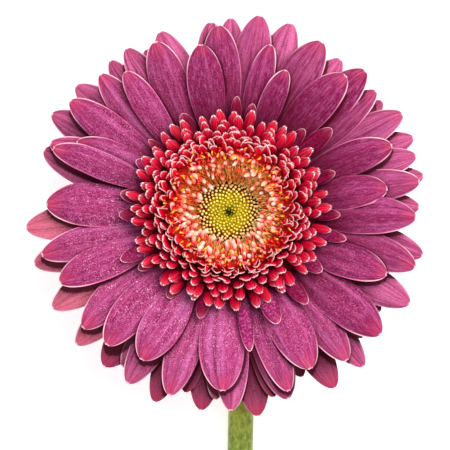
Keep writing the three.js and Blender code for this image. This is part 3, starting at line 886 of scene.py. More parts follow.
@dataclass(frozen=True)
class RuffFinish:
    """Satin crimson florets with dark roots and pale pink rims, some of them tinged with another colour. The
    darker sides are painted shade, and the darker roots partly their own colour and partly painted shade.
    """

    name: str = "ruff_petal"
    root: Colour = colour(72, 0, 14)
    body: Colour = colour(164, 0, 32)
    pale: Colour = colour(236, 0, 58)
    streak: Colour = colour(250, 70, 104)
    # Where the darker root, partly painted shade, ends along the floret.
    root_end: float = 0.8
    rim: Colour = colour(255, 156, 174)
    rim_width: float = 0.26
    rim_from: float = 0.7
    crown: Colour = colour(255, 236, 234)
    other: Colour = colour(72, 0, 14)
    other_share: float = 0.3
    other_from: float = 0.5
    mottle: Colour = colour(226, 124, 176)
    mottle_share: float = 0.0
    blush: Colour = colour(255, 70, 116)
    blush_share: float = 0.14
    specular: float = 0.08

    def material(self) -> Material:
        """Builds the node tree."""
        n = Nodes(self.name)
        across, along, _ = n.surface_place()
        tone, rim = n.attribute("tone"), n.attribute("rim")
        streaks = n.streaks(8.0, 1.1, 53.0, 3.0, 0.6)
        fine = n.streaks(15.0, 1.6, 87.0, 2.0, 0.5)
        mottle = n.noise(n.object_place(), 1900.0, 3.0, 0.7)
        middle = n.math("ABSOLUTE", n.math("SUBTRACT", across, 0.5))
        edge = n.times(n.span(rim, self.rim_width, 0.06), n.span(along, self.rim_from, 0.95))
        crown = n.times(n.span(rim, 0.3, 0.04), n.span(along, 0.88, 0.98))
        pale_grain = n.span(mottle, 0.5, 0.66, 0.0, self.mottle_share)
        pale_grain = n.times(n.span(tone, 0.0, 1.0, 0.06, 0.9), pale_grain)
        body = n.coated(
            self.body,
            (n.span(streaks, 0.42, 0.68), self.pale),
            (n.span(tone, self.other_from, 1.0, 0.0, self.other_share), self.other),
            (n.span(fine, 0.54, 0.66, 0.0, 0.4), self.streak),
            (pale_grain, self.mottle),
            (n.span(mottle, 0.5, 0.36, 0.0, 0.7 * self.mottle_share), self.root),
            # Painted shade towards the sides, then the darker root, partly own colour and partly painted
            # shade of the rank above.
            (n.span(middle, 0.25, 0.5, 0.0, 0.55), self.root),
            (n.span(along, self.root_end, 0.2), self.root),
            (n.times(n.span(along, 0.7, 1.0), self.blush_share), self.blush),
            (n.times(edge, n.span(tone, 0.0, 1.0, 0.35, 1.0)), self.rim),
            (n.times(n.span(fine, 0.46, 0.6, 0.0, 0.24), n.span(along, 0.82, 0.98)), self.rim),
            (n.times(crown, n.span(tone, 0.0, 0.7, 0.5, 1.0)), self.crown),
        )
        n.gloss(0.45, self.specular)
        return n.finished(body, streaks, 0.00008)


@dataclass(frozen=True)
class RodFinish:
    """A finish for small rods: a colour ramp from root to tip with a tone of its own for each rod."""

    name: str
    marks: Stops
    other: Colour
    variety: float = 0.35

    def material(self) -> Material:
        """Builds the node tree."""
        n = Nodes(self.name)
        speckle = n.noise(n.object_place(), 2200.0, 2.0)
        body = n.ramp(n.surface_place()[1], self.marks)
        body = n.blend(n.times(n.attribute("tone"), self.variety), body, self.other, "MULTIPLY")
        body = n.blend(n.span(speckle, 0.35, 0.65, 0.0, 0.25), body, self.other, "MULTIPLY")
        n.gloss(0.5, 0.35)
        return n.finished(body, speckle, 0.00004)


@dataclass(frozen=True)
class BudFinish:
    """Waxy disc buds: yellow-green inside, peach-tipped on brown at the disc's edge, dark in its middle.
    Their lighter tops are partly paler tips and partly painted highlight.
    """

    disc_edge: float = 9.2
    side: Stops = stops(
        (0.0, 24, 20, 0), (0.1, 84, 76, 4), (0.2, 184, 172, 14), (0.56, 214, 190, 18),
        (0.74, 170, 92, 16), (1.0, 120, 26, 10))
    # Colours of the lighter tops: partly paler tips, partly painted highlight.
    top_and_highlight: Stops = stops(
        (0.0, 56, 48, 6), (0.07, 140, 128, 30), (0.15, 236, 226, 72), (0.58, 255, 246, 104),
        (0.76, 255, 230, 140), (1.0, 255, 214, 170))
    shade: Colour = colour(196, 150, 40)

    def material(self) -> Material:
        """Builds the node tree."""
        n = Nodes("disc_bud")
        share = n.math("DIVIDE", n.attribute("reach"), self.disc_edge)
        # Lighter tops: partly paler tips, partly painted highlight on each bud.
        top = n.span(n.surface_place()[1], 0.62, 0.84)
        body = n.blend(top, n.ramp(share, self.side), n.ramp(share, self.top_and_highlight))
        body = n.blend(n.times(n.attribute("tone"), 0.22), body, self.shade, "MULTIPLY")
        n.gloss(0.34, 0.5)
        return n.finished(body, n.noise(n.object_place(), 2600.0, 2.0), 0.00004)


@dataclass(frozen=True)
class GroundFinish:
    """Dark tissue between the florets' roots, its colour changing with the reach from the axis."""

    name: str
    width: float
    marks: Stops
    shade: Colour = (0.45, 0.4, 0.35, 1.0)

    def material(self) -> Material:
        """Builds the node tree."""
        n = Nodes(self.name)
        cloud = n.noise(n.object_place(), 700.0, 4.0, 0.6)
        body = n.ramp(n.math("DIVIDE", n.attribute("reach"), self.width), self.marks)
        body = n.blend(n.span(cloud, 0.3, 0.7), body, self.shade, "MULTIPLY")
        n.gloss(0.7, 0.04)
        return n.finished(body, cloud, 0.0002)


@dataclass(frozen=True)
class StemFinish:
    """Fresh yellow-green stem tissue with darker flecks and fine ribs."""

    name: str = "stem_skin"
    light: Colour = colour(162, 176, 48)
    dark: Colour = colour(112, 132, 18)
    dark_fleck: Colour = colour(140, 124, 60)
    pale_fleck: Colour = colour(176, 192, 104)

    def material(self) -> Material:
        """Builds the node tree."""
        n = Nodes(self.name)
        place = n.object_place()
        fleck = n.noise(n.vector_math("MULTIPLY", place, (1.0, 0.6, 1.0)), 1100.0, 4.0, 0.7)
        cloud = n.noise(n.vector_math("MULTIPLY", place, (1.0, 0.4, 1.0)), 130.0, 3.0)
        body = n.blend(n.span(cloud, 0.35, 0.65), self.light, self.dark)
        body = n.blend(n.span(fleck, 0.48, 0.62, 0.0, 0.5), body, self.dark_fleck, "MULTIPLY")
        body = n.blend(n.span(fleck, 0.48, 0.36, 0.0, 0.36), body, self.pale_fleck)
        n.gloss(0.46, 0.42, 0.2, colour(240, 250, 210))
        return n.finished(body, n.math("ADD", fleck, n.times(cloud, 0.5)), 0.00022)


@dataclass(frozen=True)
class BractFinish:
    """Matt green bracts, paler at the rim, with purple-brown points."""

    dark: Colour = colour(84, 112, 46)
    light: Colour = colour(128, 150, 70)
    point: Colour = colour(110, 52, 60)
    rim: Colour = colour(178, 190, 120)

    def material(self) -> Material:
        """Builds the node tree."""
        n = Nodes("bract")
        streaks = n.streaks(9.0, 1.2, 11.0, 3.0)
        body = n.coated(
            self.dark,
            (n.span(streaks, 0.35, 0.65), self.light),
            (n.span(n.surface_place()[1], 0.72, 0.98), self.point),
            (n.span(n.attribute("rim"), 0.3, 0.05, 0.0, 0.5), self.rim),
        )
        n.gloss(0.6, 0.3, 0.2)
        return n.finished(body, streaks, 0.0002)


class RayRow(Enum):
    """The four loose rows of ray florets, each one piece of the scene."""

    FRONT = "ray_florets_front"
    SECOND = "ray_florets_second"
    THIRD = "ray_florets_third"
    BACK = "ray_florets_back"


# Ray florets: bearing of tip and root in degrees, reach of the tip and width in mm, level with 1 on top.
RAYS: dict[RayRow, list[tuple[float, float, float, float, float]]] = {
    RayRow.FRONT: [
        (8.5, 7.5, 44.0, 9.2, 0.95), (22, 24.3, 48.4, 9.4, 1.0), (49.5, 53, 49.5, 10.7, 1.0),
        (68, 68.8, 42.1, 6.8, 1.0), (76, 77.5, 47.6, 7.2, 0.9), (99.5, 102.5, 46.8, 10.2, 1.0),
        (126.5, 131.5, 48.1, 7.7, 1.0), (155.5, 154, 46.2, 8.0, 0.91), (160, 163, 51.4, 7.8, 1.09),
        (177.5, 178.5, 50.3, 12.2, 0.9), (202.5, 203, 50.3, 9.9, 1.0), (227.5, 223.5, 49.5, 10.1, 0.95),
        (239.5, 241, 47.0, 11.5, 1.03), (268, 264.8, 49.0, 12.5, 1.0), (297.5, 297, 48.4, 11.4, 1.0),
        (338.5, 333.5, 46.5, 9.8, 1.0),
    ],
    RayRow.SECOND: [
        (93.5, 92, 51.7, 10.6, 0.87), (113.5, 118.5, 51.2, 10.6, 0.84), (133, 140, 52.0, 8.6, 0.76),
        (145, 148.5, 53.4, 9.4, 0.9), (193, 192.5, 52.8, 9.3, 0.84), (218.5, 213.5, 51.2, 9.6, 0.82),
        (252, 252, 52.8, 9.6, 0.76), (288.5, 285.5, 51.7, 8.6, 0.8), (308.5, 310, 52.0, 9.6, 0.79),
        (321, 321, 53.4, 11.6, 0.94), (343.5, 345, 53.4, 10.2, 0.8), (358.5, 356, 51.4, 10.6, 0.92),
        (9, 9.5, 53.1, 9.2, 0.78),
    ],
    RayRow.THIRD: [
        (159, 158, 52.8, 9.0, 0.74), (16.8, 17, 53.9, 9.2, 0.6), (29.5, 29, 55.0, 9.6, 0.66),
        (39.5, 36, 52.5, 8.2, 0.76), (46, 46.5, 54.2, 10.8, 0.88), (61.5, 64, 53.6, 11.4, 0.76),
        (72, 72, 55.0, 10.5, 0.46), (81, 83, 55.0, 10.6, 0.7), (95.5, 97, 52.8, 9.5, 0.56),
        (122, 123, 53.4, 9.0, 0.58), (270.5, 272, 54.5, 9.5, 0.56),
    ],
    RayRow.BACK: [
        (1.5, 1, 52.5, 9.0, 0.5), (10.5, 11, 54.7, 8.5, 0.34), (22, 22, 55.0, 8.8, 0.34),
        (54, 54.5, 52.5, 9.6, 0.22), (89.5, 89.5, 53.9, 9.0, 0.2), (111, 109, 53.6, 10.0, 0.2),
        (140.5, 140, 55.0, 9.6, 0.12), (151, 152, 56.1, 9.6, 0.24), (161.5, 167, 53.9, 11.0, 0.5),
        (184.5, 184, 56.1, 10.5, 0.5), (195, 196, 55.6, 10.2, 0.36), (208.5, 208, 55.3, 9.8, 0.45),
        (221, 220, 55.6, 9.0, 0.4), (231, 230, 54.7, 11.0, 0.04), (239.5, 240, 54.7, 10.0, 0.44),
        (248.5, 249, 56.1, 9.0, 0.08), (262, 261, 55.0, 9.5, 0.15), (278, 278, 56.7, 10.0, 0.04),
        (287.5, 286, 53.9, 10.4, 0.45), (301, 301, 56.4, 10.0, 0.25), (311, 312, 56.4, 9.0, 0.4),
        (317, 318, 50.6, 7.0, 0.1), (333, 332, 55.8, 10.5, 0.45), (347.5, 349, 54.7, 9.5, 0.45),
        (235.5, 235, 51.7, 7.6, 0.24), (256.5, 256, 51.0, 7.6, 0.3), (265.8, 266, 51.7, 7.6, 0.36),
        (283.5, 283.5, 52.3, 7.6, 0.3), (294, 293, 49.6, 7.6, 0.12), (327, 326.5, 49.9, 7.6, 0.26),
    ],
}

# Back ray florets that sag to the table, in the same order.
RESTING_RAYS = [
    (35.5, 34.5, 52.5, 8.2, 0.0), (57.5, 58, 49.5, 9.0, 0.0), (117, 117, 50.5, 9.0, 0.0),
    (128.3, 129, 53.3, 8.2, 0.0),
]

# Bearings of rays that are folded along their middle, of ones given brown painted shade, and of peach-tinted
# ones.
CREASED_RAYS = (99.5, 155.5, 160.0, 68.0, 338.5, 193.0, 46.0, 252.0)
SHADE_PAINTED_RAYS = (231.0, 248.5, 256.5, 262.0, 278.0, 283.5, 301.0)
PEACH_RAYS = (128.3, 151.0, 184.5, 195.0, 208.5, 221.0)

# Short purple florets between the ruff and the rays: bearing, reach, width and paleness from 0 to 1.
SMALL_RAYS = [
    (20.5, 31.1, 3.8, 0.1), (39, 36.3, 5.2, 0.12), (47.5, 30.8, 4.0, 0.1), (77.5, 30.5, 3.6, 0.0),
    (86, 31.9, 3.2, 0.1), (115.5, 30.0, 4.4, 0.0), (138, 29.7, 2.8, 0.0), (151, 29.2, 3.6, 0.45),
    (170.5, 30.2, 4.4, 0.2), (181.5, 30.2, 4.0, 0.15), (204, 32.5, 4.3, 0.5), (212.5, 29.4, 3.8, 0.0),
    (234.5, 28.9, 4.1, 0.0), (254.5, 30.2, 3.7, 0.15), (278.5, 38.5, 4.0, 1.0), (293.5, 33.3, 5.3, 0.7),
    (310.5, 33.0, 4.4, 0.3), (327.5, 30.2, 4.4, 0.35), (346.8, 33.0, 3.6, 0.35), (358.5, 30.5, 3.6, 0.0),
]


@dataclass
class RayWhorl:
    """The large mauve ray florets."""

    head: HeadFrame
    root_reach: float = 13.8
    resting_tip: float = -1.2
    form: BladeForm = BladeForm(
        fullness=2.1, blunt=0.13, thickness=0.55, rim_share=0.35, groove=0.4, rim_wave=0.05, rim_lift=0.28,
        teeth=2.0, tooth_depth=-0.16, rows=46, columns=25)
    seed: int = 7

    def blades(self, row: RayRow) -> Blades:
        """The blades of one row, and with the back row the ones that rest on the table.

        Most heights run evenly with the level. The tips of resting rays lie just under the table's height,
        from where their sheets are lifted on to it.

        Args:
            row: which row.

        Returns:
            The blades in the head's frame.
        """
        rng = np.random.default_rng(self.seed + len(row.value))
        table = RAYS[row] + (RESTING_RAYS if row is RayRow.BACK else [])
        rests = np.arange(len(table)) >= len(RAYS[row])
        tip, root, reach, width, level = np.array(table).T
        sag = self.head.table_under(reach * np.sin(np.radians(tip))) + self.resting_tip
        height = np.where(rests, sag, mix(-12.0, 6.0, level))
        roots = self.head.seen_at(np.radians(root), self.root_reach, mix(0.15, 0.8, level))
        tips = self.head.seen_at(np.radians(tip), reach, height)
        bearing = np.degrees(np.arctan2(tips[:, 1], tips[:, 0])) % 360.0
        drop = np.where(rests, 0.0, mix(1.5, 4.5, level)) * rng.uniform(0.8, 1.2, len(table))
        tips[:, 2] += drop
        return Blades(
            roots,
            tips,
            np.where(rests, -5.0, mix(-1.0, 5.0, level)),
            width,
            arch=np.where(rests, 0.16, 0.2) + rng.uniform(0.02, 0.16, len(table)),
            twist=rng.normal(0.0, 0.05, len(table)),
            fold=rng.uniform(-0.1, 0.25, len(table)) + self.near(bearing, CREASED_RAYS) * 0.6,
            tone=rng.uniform(0.0, 1.0, len(table)),
            resting=rests,
            curl=drop,
            # Painted shade in brown on the chosen back rays.
            painted_shade=self.near(bearing, SHADE_PAINTED_RAYS) * (row is RayRow.BACK),
            peach=self.near(bearing, PEACH_RAYS) * (row is RayRow.BACK),
            # Rays that lie lower are painted paler as fill light.
            low=smooth(1.0 - level, 0.05, 0.55),
        )

    @staticmethod
    def near(bearing: np.ndarray, chosen: tuple[float, ...]) -> np.ndarray:
        """1 for each bearing that is within one and a half degrees of a chosen one, otherwise 0."""
        return (np.abs(bearing[:, None] - np.array(chosen)[None]).min(axis=1) < 1.5).astype(float)

    def build(self, finish: Material) -> None:
        """Makes one piece for each row."""
        first = 0
        rows = {row: self.blades(row) for row in RayRow}
        whorl = Blades.joined(list(rows.values()))
        for row, blades in rows.items():
            shell = blades.shell(self.form, self.head, whorl, first)
            piece = shell.into_object(row.value, finish, crisp=True)
            first += len(blades.root)
            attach(piece, "root")
            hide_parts("ray_florets")


@dataclass
class Rank:
    """One ring of short florets: how many, where their tips and roots are, their width, and their scatter."""

    count: int
    tip_reach: float
    tip_height: float
    root_reach: float
    root_height: float
    width: float
    jitter: float = 0.5
    arch: Range = (0.4, 0.8)
    bend: Range = (0.6, 1.5)
    rise: float = 0.5
    turn: float = 0.16
    phase: float = 0.0

    def bearings(self, rng: np.random.Generator, scatter: float) -> np.ndarray:
        """Evenly spaced bearings, each moved by at most a scatter of the spacing."""
        offset = self.phase + rng.uniform(-scatter, scatter, self.count)
        return (np.arange(self.count) + offset) / self.count * FULL_TURN

    def blades(self, rng: np.random.Generator) -> Blades:
        """The florets, with a seeded scatter of place, height and width."""
        bearing = self.bearings(rng, 0.3)
        reach = self.tip_reach + rng.uniform(-self.jitter, self.jitter, self.count)
        height = self.tip_height + rng.uniform(-self.rise, self.rise, self.count)
        lean = bearing + rng.normal(0.0, 0.035, self.count)
        return Blades(
            around(bearing, self.root_reach, self.root_height),
            around(lean, reach, height),
            (self.root_height + height) / 2 + rng.uniform(*self.bend, self.count),
            self.width * rng.uniform(0.82, 1.14, self.count),
            arch=rng.uniform(*self.arch, self.count),
            twist=np.clip(rng.normal(0.0, self.turn, self.count), -0.8, 0.8),
            tone=rng.uniform(0.0, 1.0, self.count),
            curl=rng.uniform(-0.6, -0.1, self.count),
        )


@dataclass
class Ruff:
    """The crimson ruff, with the short purple florets under it and the funnel that they grow from."""

    head: HeadFrame
    ranks: tuple[Rank, ...] = (
        Rank(38, 27.6, 7.6, 18.6, 4.8, 3.0, 0.9, (0.2, 0.5), turn=0.2),
        Rank(38, 25.2, 9.2, 18.2, 5.6, 3.0, 0.9, (0.2, 0.5), turn=0.2, phase=0.5),
        Rank(38, 22.9, 10.8, 17.9, 6.4, 2.9, 0.7, (0.1, 0.5), turn=0.22),
        Rank(38, 21.1, 12.0, 17.8, 7.4, 2.8, 0.6, (-0.1, 0.4), turn=0.25, phase=0.5),
    )
    form: BladeForm = BladeForm(
        widest_at=0.66, root_share=0.5, blunt=0.34, thickness=0.42, rim_share=0.4, tooth_depth=0.45,
        tooth_round=0.25, groove=0.06, rows=8, columns=7)
    small_form: BladeForm = BladeForm(
        widest_at=0.6, fullness=2.0, root_share=0.55, thickness=0.42, groove=0.06, rows=22, columns=13)
    funnel: Profile = (
        (10.5, -0.7), (12.6, -0.7), (12.6, 2.6), (24.0, 6.0), (20.2, 9.3), (10.5, 2.9), (10.5, -0.7))
    seed: int = 21

    def small_blades(self, rng: np.random.Generator) -> Blades:
        """The short purple florets, placed one by one; the longer ones end higher."""
        bearing, reach, width, paleness = np.array(SMALL_RAYS).T
        return Blades(
            self.head.seen_at(np.radians(bearing), 18.0, np.full(len(reach), 5.2)),
            self.head.seen_at(np.radians(bearing), reach, mix(6.6, 7.6, (reach - 29.0) / 9.0)),
            6.2,
            width,
            arch=0.12,
            twist=rng.normal(0.0, 0.1, len(reach)),
            tone=np.clip(paleness + rng.uniform(-0.05, 0.05, len(reach)), 0.0, 1.0),
        )

    def build(self, ruff: Material, small: Material, ground: Material) -> None:
        """Makes the ruff, the short purple florets and the funnel."""
        rng = np.random.default_rng(self.seed)
        shells = [rank.blades(rng).shell(self.form, self.head) for rank in self.ranks]
        purple = self.small_blades(rng).shell(self.small_form, self.head)
        pieces = [
            Shell.joined(shells).into_object("ruff_petals", ruff, crisp=True),
            purple.into_object("small_ray_petals", small, crisp=True),
            turned(self.funnel, 96, 60, self.head).into_object("ruff_funnel", ground),
        ]
        for piece in pieces:
            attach(piece, "root")
            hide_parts("ruff_florets")


@dataclass
class InnerFlorets:
    """The pale-tipped inner florets, their anthers and the hairs round the disc."""

    head: HeadFrame
    ranks: tuple[Rank, ...] = (
        Rank(42, 20.3, 12.5, 18.4, 8.0, 2.7, 0.7, (-0.5, 0.3), (0.0, 0.7), 0.8, 0.35),
        Rank(40, 19.1, 12.9, 17.6, 8.4, 2.5, 0.8, (-0.7, 0.1), (0.0, 0.6), 0.8, 0.45),
        Rank(34, 17.8, 12.9, 16.7, 8.4, 2.2, 0.8, (-0.7, 0.1), (0.0, 0.5), 0.9, 0.5),
        Rank(32, 18.8, 13.3, 17.2, 8.4, 2.3, 0.8, (-0.7, 0.1), (0.0, 0.6), 0.9, 0.45, 0.5),
        Rank(24, 16.5, 12.4, 15.6, 8.0, 1.9, 0.8, (-0.7, 0.1), (0.0, 0.5), 0.9, 0.55),
        Rank(16, 15.2, 11.8, 14.6, 7.6, 1.7, 0.7, (-0.7, 0.1), (0.0, 0.5), 0.9, 0.5),
    )
    form: BladeForm = BladeForm(
        widest_at=0.74, fullness=3.2, root_share=0.4, blunt=0.45, thickness=0.36, rim_share=0.5,
        tooth_depth=0.45, tooth_round=0.3, rows=7, columns=7)
    ring: Profile = (
        (8.9, -0.7), (10.2, -0.7), (10.2, 3.2), (18.0, 8.7), (17.2, 9.9), (13.6, 8.6), (8.9, 4.4),
        (8.9, -0.7))
    bud_count: int = 180
    tube_count: int = 420
    anther_count: int = 66
    anther_lift: float = 3.0
    hair_count: int = 3300
    dense_at: float = math.radians(70.0)
    sparse_at: float = math.radians(225.0)
    seed: int = 33

    @staticmethod
    def leaning(rng: np.random.Generator, count: int, rings: int, reach: Range, rise: Range, lean: Range,
                swing: float, gather: float = 0.0, gather_at: float = 0.0) -> np.ndarray:
        """Straight paths that stand on the sloping ring and lean in or out.

        Roots are spread evenly over the ring by area. The tip is higher by the rise, further in or out by the
        lean and turned sideways by the swing. 62 in 100 lean in, and the others lean out 0.6 times as far.

        Args:
            rng: the seeded source of the scatter.
            count: number of paths.
            rings: points on each path.
            reach: least and greatest reach of the roots, in mm.
            rise: least and greatest rise, in mm.
            lean: least and greatest lean, in mm.
            swing: standard deviation of the sideways shift, in mm.
            gather: how much denser they stand on one side: this times the bearing's sine is taken off it.
            gather_at: bearing of that side, in radians.

        Returns:
            Count x rings x 3 points.
        """
        bearing = (np.arange(count) + rng.uniform(0, 1, count)) * FULL_TURN / count
        bearing = bearing - gather * np.sin(bearing - gather_at)
        root_reach = np.sqrt(rng.uniform(reach[0] ** 2, reach[1] ** 2, count))
        root_height = np.interp(root_reach, [8.8, 13.6, 17.6, 19.0], [4.0, 8.2, 9.6, 9.4])
        root = around(bearing, root_reach, root_height)
        side = around(bearing + math.pi / 2, rng.normal(0, swing, count), 0.0)
        way = np.where(rng.uniform(0, 1, count) < 0.62, -1.0, 0.6)
        inward = around(bearing, way * rng.uniform(*lean, count), rng.uniform(*rise, count))
        return straight(root, inward + side, rings)

    def buds(self, rng: np.random.Generator) -> Shell:
        """Closed florets: slim tubes that swell to an oval pale end and lean in or out over the ring."""
        paths = self.leaning(
            rng, self.bud_count, 8, (9.8, 15.4), (0.9, 1.8), (1.4, 2.8), 0.9, 0.35, self.sparse_at)
        paths[..., 2] += rng.uniform(0.4, 1.6, self.bud_count)[:, None]
        profile = ((0, 0.2), (0.15, 0.36), (0.45, 0.56), (0.75, 0.56), (0.92, 0.36), (1.0, 0.03))
        radii = swelling(profile, 8, rng.uniform(0.6, 1.25, self.bud_count))
        return rods(paths, radii, 7, rng.uniform(0, 1, self.bud_count), self.head)

    def tubes(self, rng: np.random.Generator) -> Shell:
        """Slim red and orange floret tubes that fill the ring between the buds."""
        paths = self.leaning(rng, self.tube_count, 5, (9.4, 17.4), (1.4, 3.0), (0.2, 1.8), 0.5)
        profile = ((0, 0.3), (0.5, 0.34), (0.85, 0.3), (1.0, 0.04))
        radii = swelling(profile, 5, rng.uniform(0.7, 1.1, self.tube_count))
        return rods(paths, radii, 5, rng.uniform(0, 1, self.tube_count), self.head)

    def anthers(self, rng: np.random.Generator) -> Shell:
        """Yellow anther columns that stand out above the florets, each a short slim rod."""
        paths = self.leaning(rng, self.anther_count, 6, (12.6, 18.0), (0.6, 1.1), (1.0, 1.9), 0.5)
        paths[..., 2] += self.anther_lift
        profile = ((0, 0.14), (0.2, 0.27), (0.5, 0.3), (0.85, 0.26), (1.0, 0.04))
        radii = swelling(profile, 6, rng.uniform(0.8, 1.2, self.anther_count))
        return rods(paths, radii, 6, rng.uniform(0, 1, self.anther_count), self.head)

    def hairs(self, rng: np.random.Generator) -> Shell:
        """Fine hairs between the buds, each a thin three-sided needle, with a tone by bearing: cream towards
        the lower right and darker, more golden towards the upper left, with a fine ripple.
        """
        paths = self.leaning(
            rng, self.hair_count, 4, (8.9, 14.4), (1.2, 2.8), (0.3, 2.2), 0.3, 0.55, self.dense_at)
        radii = swelling(((0, 0.12), (0.6, 0.1), (1.0, 0.01)), 4, np.ones(self.hair_count))
        bearing = np.arctan2(paths[:, 0, 1], paths[:, 0, 0])
        bearing_tone = 0.42 + 0.4 * np.sin(bearing) - 0.4 * np.cos(bearing) + 0.2 * np.sin(11.0 * bearing)
        return rods(paths, radii, 3, np.clip(bearing_tone + rng.normal(0, 0.2, self.hair_count), 0, 1), self.head)

    def build(self, petals: Material, buds: Material, tubes: Material, anthers: Material, hairs: Material,
              ground: Material) -> None:
        """Makes the florets, buds, tubes, anthers, hairs and the ring that they stand on."""
        rng = np.random.default_rng(self.seed)
        shells = [rank.blades(rng).shell(self.form, self.head) for rank in self.ranks]
        pieces = [
            Shell.joined(shells).into_object("inner_petals", petals, crisp=True),
            self.buds(rng).into_object("inner_buds", buds),
            self.tubes(rng).into_object("inner_tubes", tubes),
            self.anthers(rng).into_object("anthers", anthers),
            self.hairs(rng).into_object("pappus_hairs", hairs),
            turned(self.ring, 96, 60, self.head).into_object("inner_ring", ground),
        ]
        for piece in pieces:
            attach(piece, "root")
            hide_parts("inner_florets")


@dataclass
class Disc:
    """The disc: waxy buds in a golden-angle spiral on a low dome with a dip in its middle."""

    head: HeadFrame
    radius: float = 8.9
    ground_radius: float = 8.6
    shift: tuple[float, float, float] = (0.25, -0.35, 0.0)
    bud_count: int = 296
    seed: int = 5

    def dome(self, reach: np.ndarray) -> np.ndarray:
        """Height of the disc's ground: a shallow dome less a narrow dip."""
        return 3.9 - 1.1 * np.exp(-((reach / 1.6) ** 2)) - 0.6 * (reach / self.radius) ** 2

    def buds(self, rng: np.random.Generator) -> Shell:
        """The buds: short upright rods with round ends, small in the middle and full at the edge."""
        count, rings = self.bud_count, 7
        reach = self.radius * ((np.arange(count) + 0.6) / count) ** 0.54
        bearing = np.arange(count) * GOLDEN_ANGLE + rng.normal(0, 0.1, count) / np.maximum(reach, 1)
        reach = reach + rng.normal(0, 0.07, count)
        growth = np.clip(reach / 7.0, 0, 1)
        girth = mix(0.25, 0.43, growth) * rng.uniform(0.84, 1.1, count)
        root = around(bearing, reach, self.dome(reach) - 0.4)
        lean = np.interp(reach, [0.0, 5.0, 9.0], [0.0, 0.05, 0.35])
        height = mix(0.4, 0.95, growth) + rng.uniform(-0.12, 0.12, count)
        tip = around(bearing, reach + lean, self.dome(reach) + height)
        paths = straight(root, tip - root, rings)
        profile = ((0, 0.7), (0.35, 0.9), (0.6, 1.0), (0.8, 0.86), (0.93, 0.45), (1.0, 0.03))
        radii = swelling(profile, rings, girth)
        return rods(paths + np.array(self.shift), radii, 8, rng.uniform(0, 1, count), self.head)

    def build(self, buds: Material, ground: Material) -> None:
        """Makes the buds and the ground under them."""
        rng = np.random.default_rng(self.seed)
        reach = np.linspace(self.ground_radius, 0.0, 14)
        top = np.stack((reach, self.dome(reach)), axis=-1)
        profile = np.concatenate(([(0.0, -0.7), (self.ground_radius, -0.7)], top))
        pieces = [
            self.buds(rng).into_object("disc_bud_tops", buds),
            turned(profile, 64, 40, self.head).into_object("disc_ground", ground),
        ]
        for piece in pieces:
            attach(piece, "root")
            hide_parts("disc_buds")


@dataclass
class Involucre:
    """The green cup under the head, covered by four rows of narrow pointed bracts."""

    head: HeadFrame
    rows: tuple[Rank, ...] = (
        Rank(24, 15.5, -1.7, 10.2, -7.0, 4.4, 0.25),
        Rank(22, 14.7, -3.7, 8.6, -8.2, 4.2, 0.3, phase=0.5),
        Rank(19, 13.0, -6.0, 6.6, -9.4, 3.9, 0.3),
        Rank(14, 10.2, -8.1, 4.2, -10.8, 3.4, 0.3, phase=0.5),
    )
    form: BladeForm = BladeForm(
        widest_at=0.42, fullness=1.5, root_share=0.7, thickness=0.6, groove=0.1, groove_places=(0.0,),
        rows=16, columns=9)
    seed: int = 44

    def bracts(self, rank: Rank, rng: np.random.Generator) -> Blades:
        """One row of bracts, hollow towards the cup."""
        bearing = rank.bearings(rng, 0.15)
        reach = rank.tip_reach + rng.uniform(-rank.jitter, rank.jitter, rank.count)
        return Blades(
            around(bearing, rank.root_reach, rank.root_height),
            around(bearing, reach, rank.tip_height),
            mix(rank.root_height, rank.tip_height, 0.3),
            rank.width,
            arch=-0.2,
            tone=rng.uniform(0, 1, rank.count),
        )

    def build(self, bract: Material, skin: Material) -> None:
        """Makes the cup and its bracts."""
        rng = np.random.default_rng(self.seed)
        shells = [self.bracts(rank, rng).shell(self.form, self.head) for rank in self.rows]
        foot = -self.head.involucre_depth
        cup = ((0.0, foot), (3.6, foot), (4.6, foot + 0.8), (9.2, -8.0), (12.6, -5.0), (14.6, -1.8),
               (14.6, -1.0), (0.0, -1.0))
        pieces = [
            Shell.joined(shells).into_object("bracts", bract, crisp=True),
            turned(cup, 96, 48, self.head).into_object("involucre_cup", skin),
        ]
        for piece in pieces:
            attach(piece, "root")
            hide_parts("involucre")


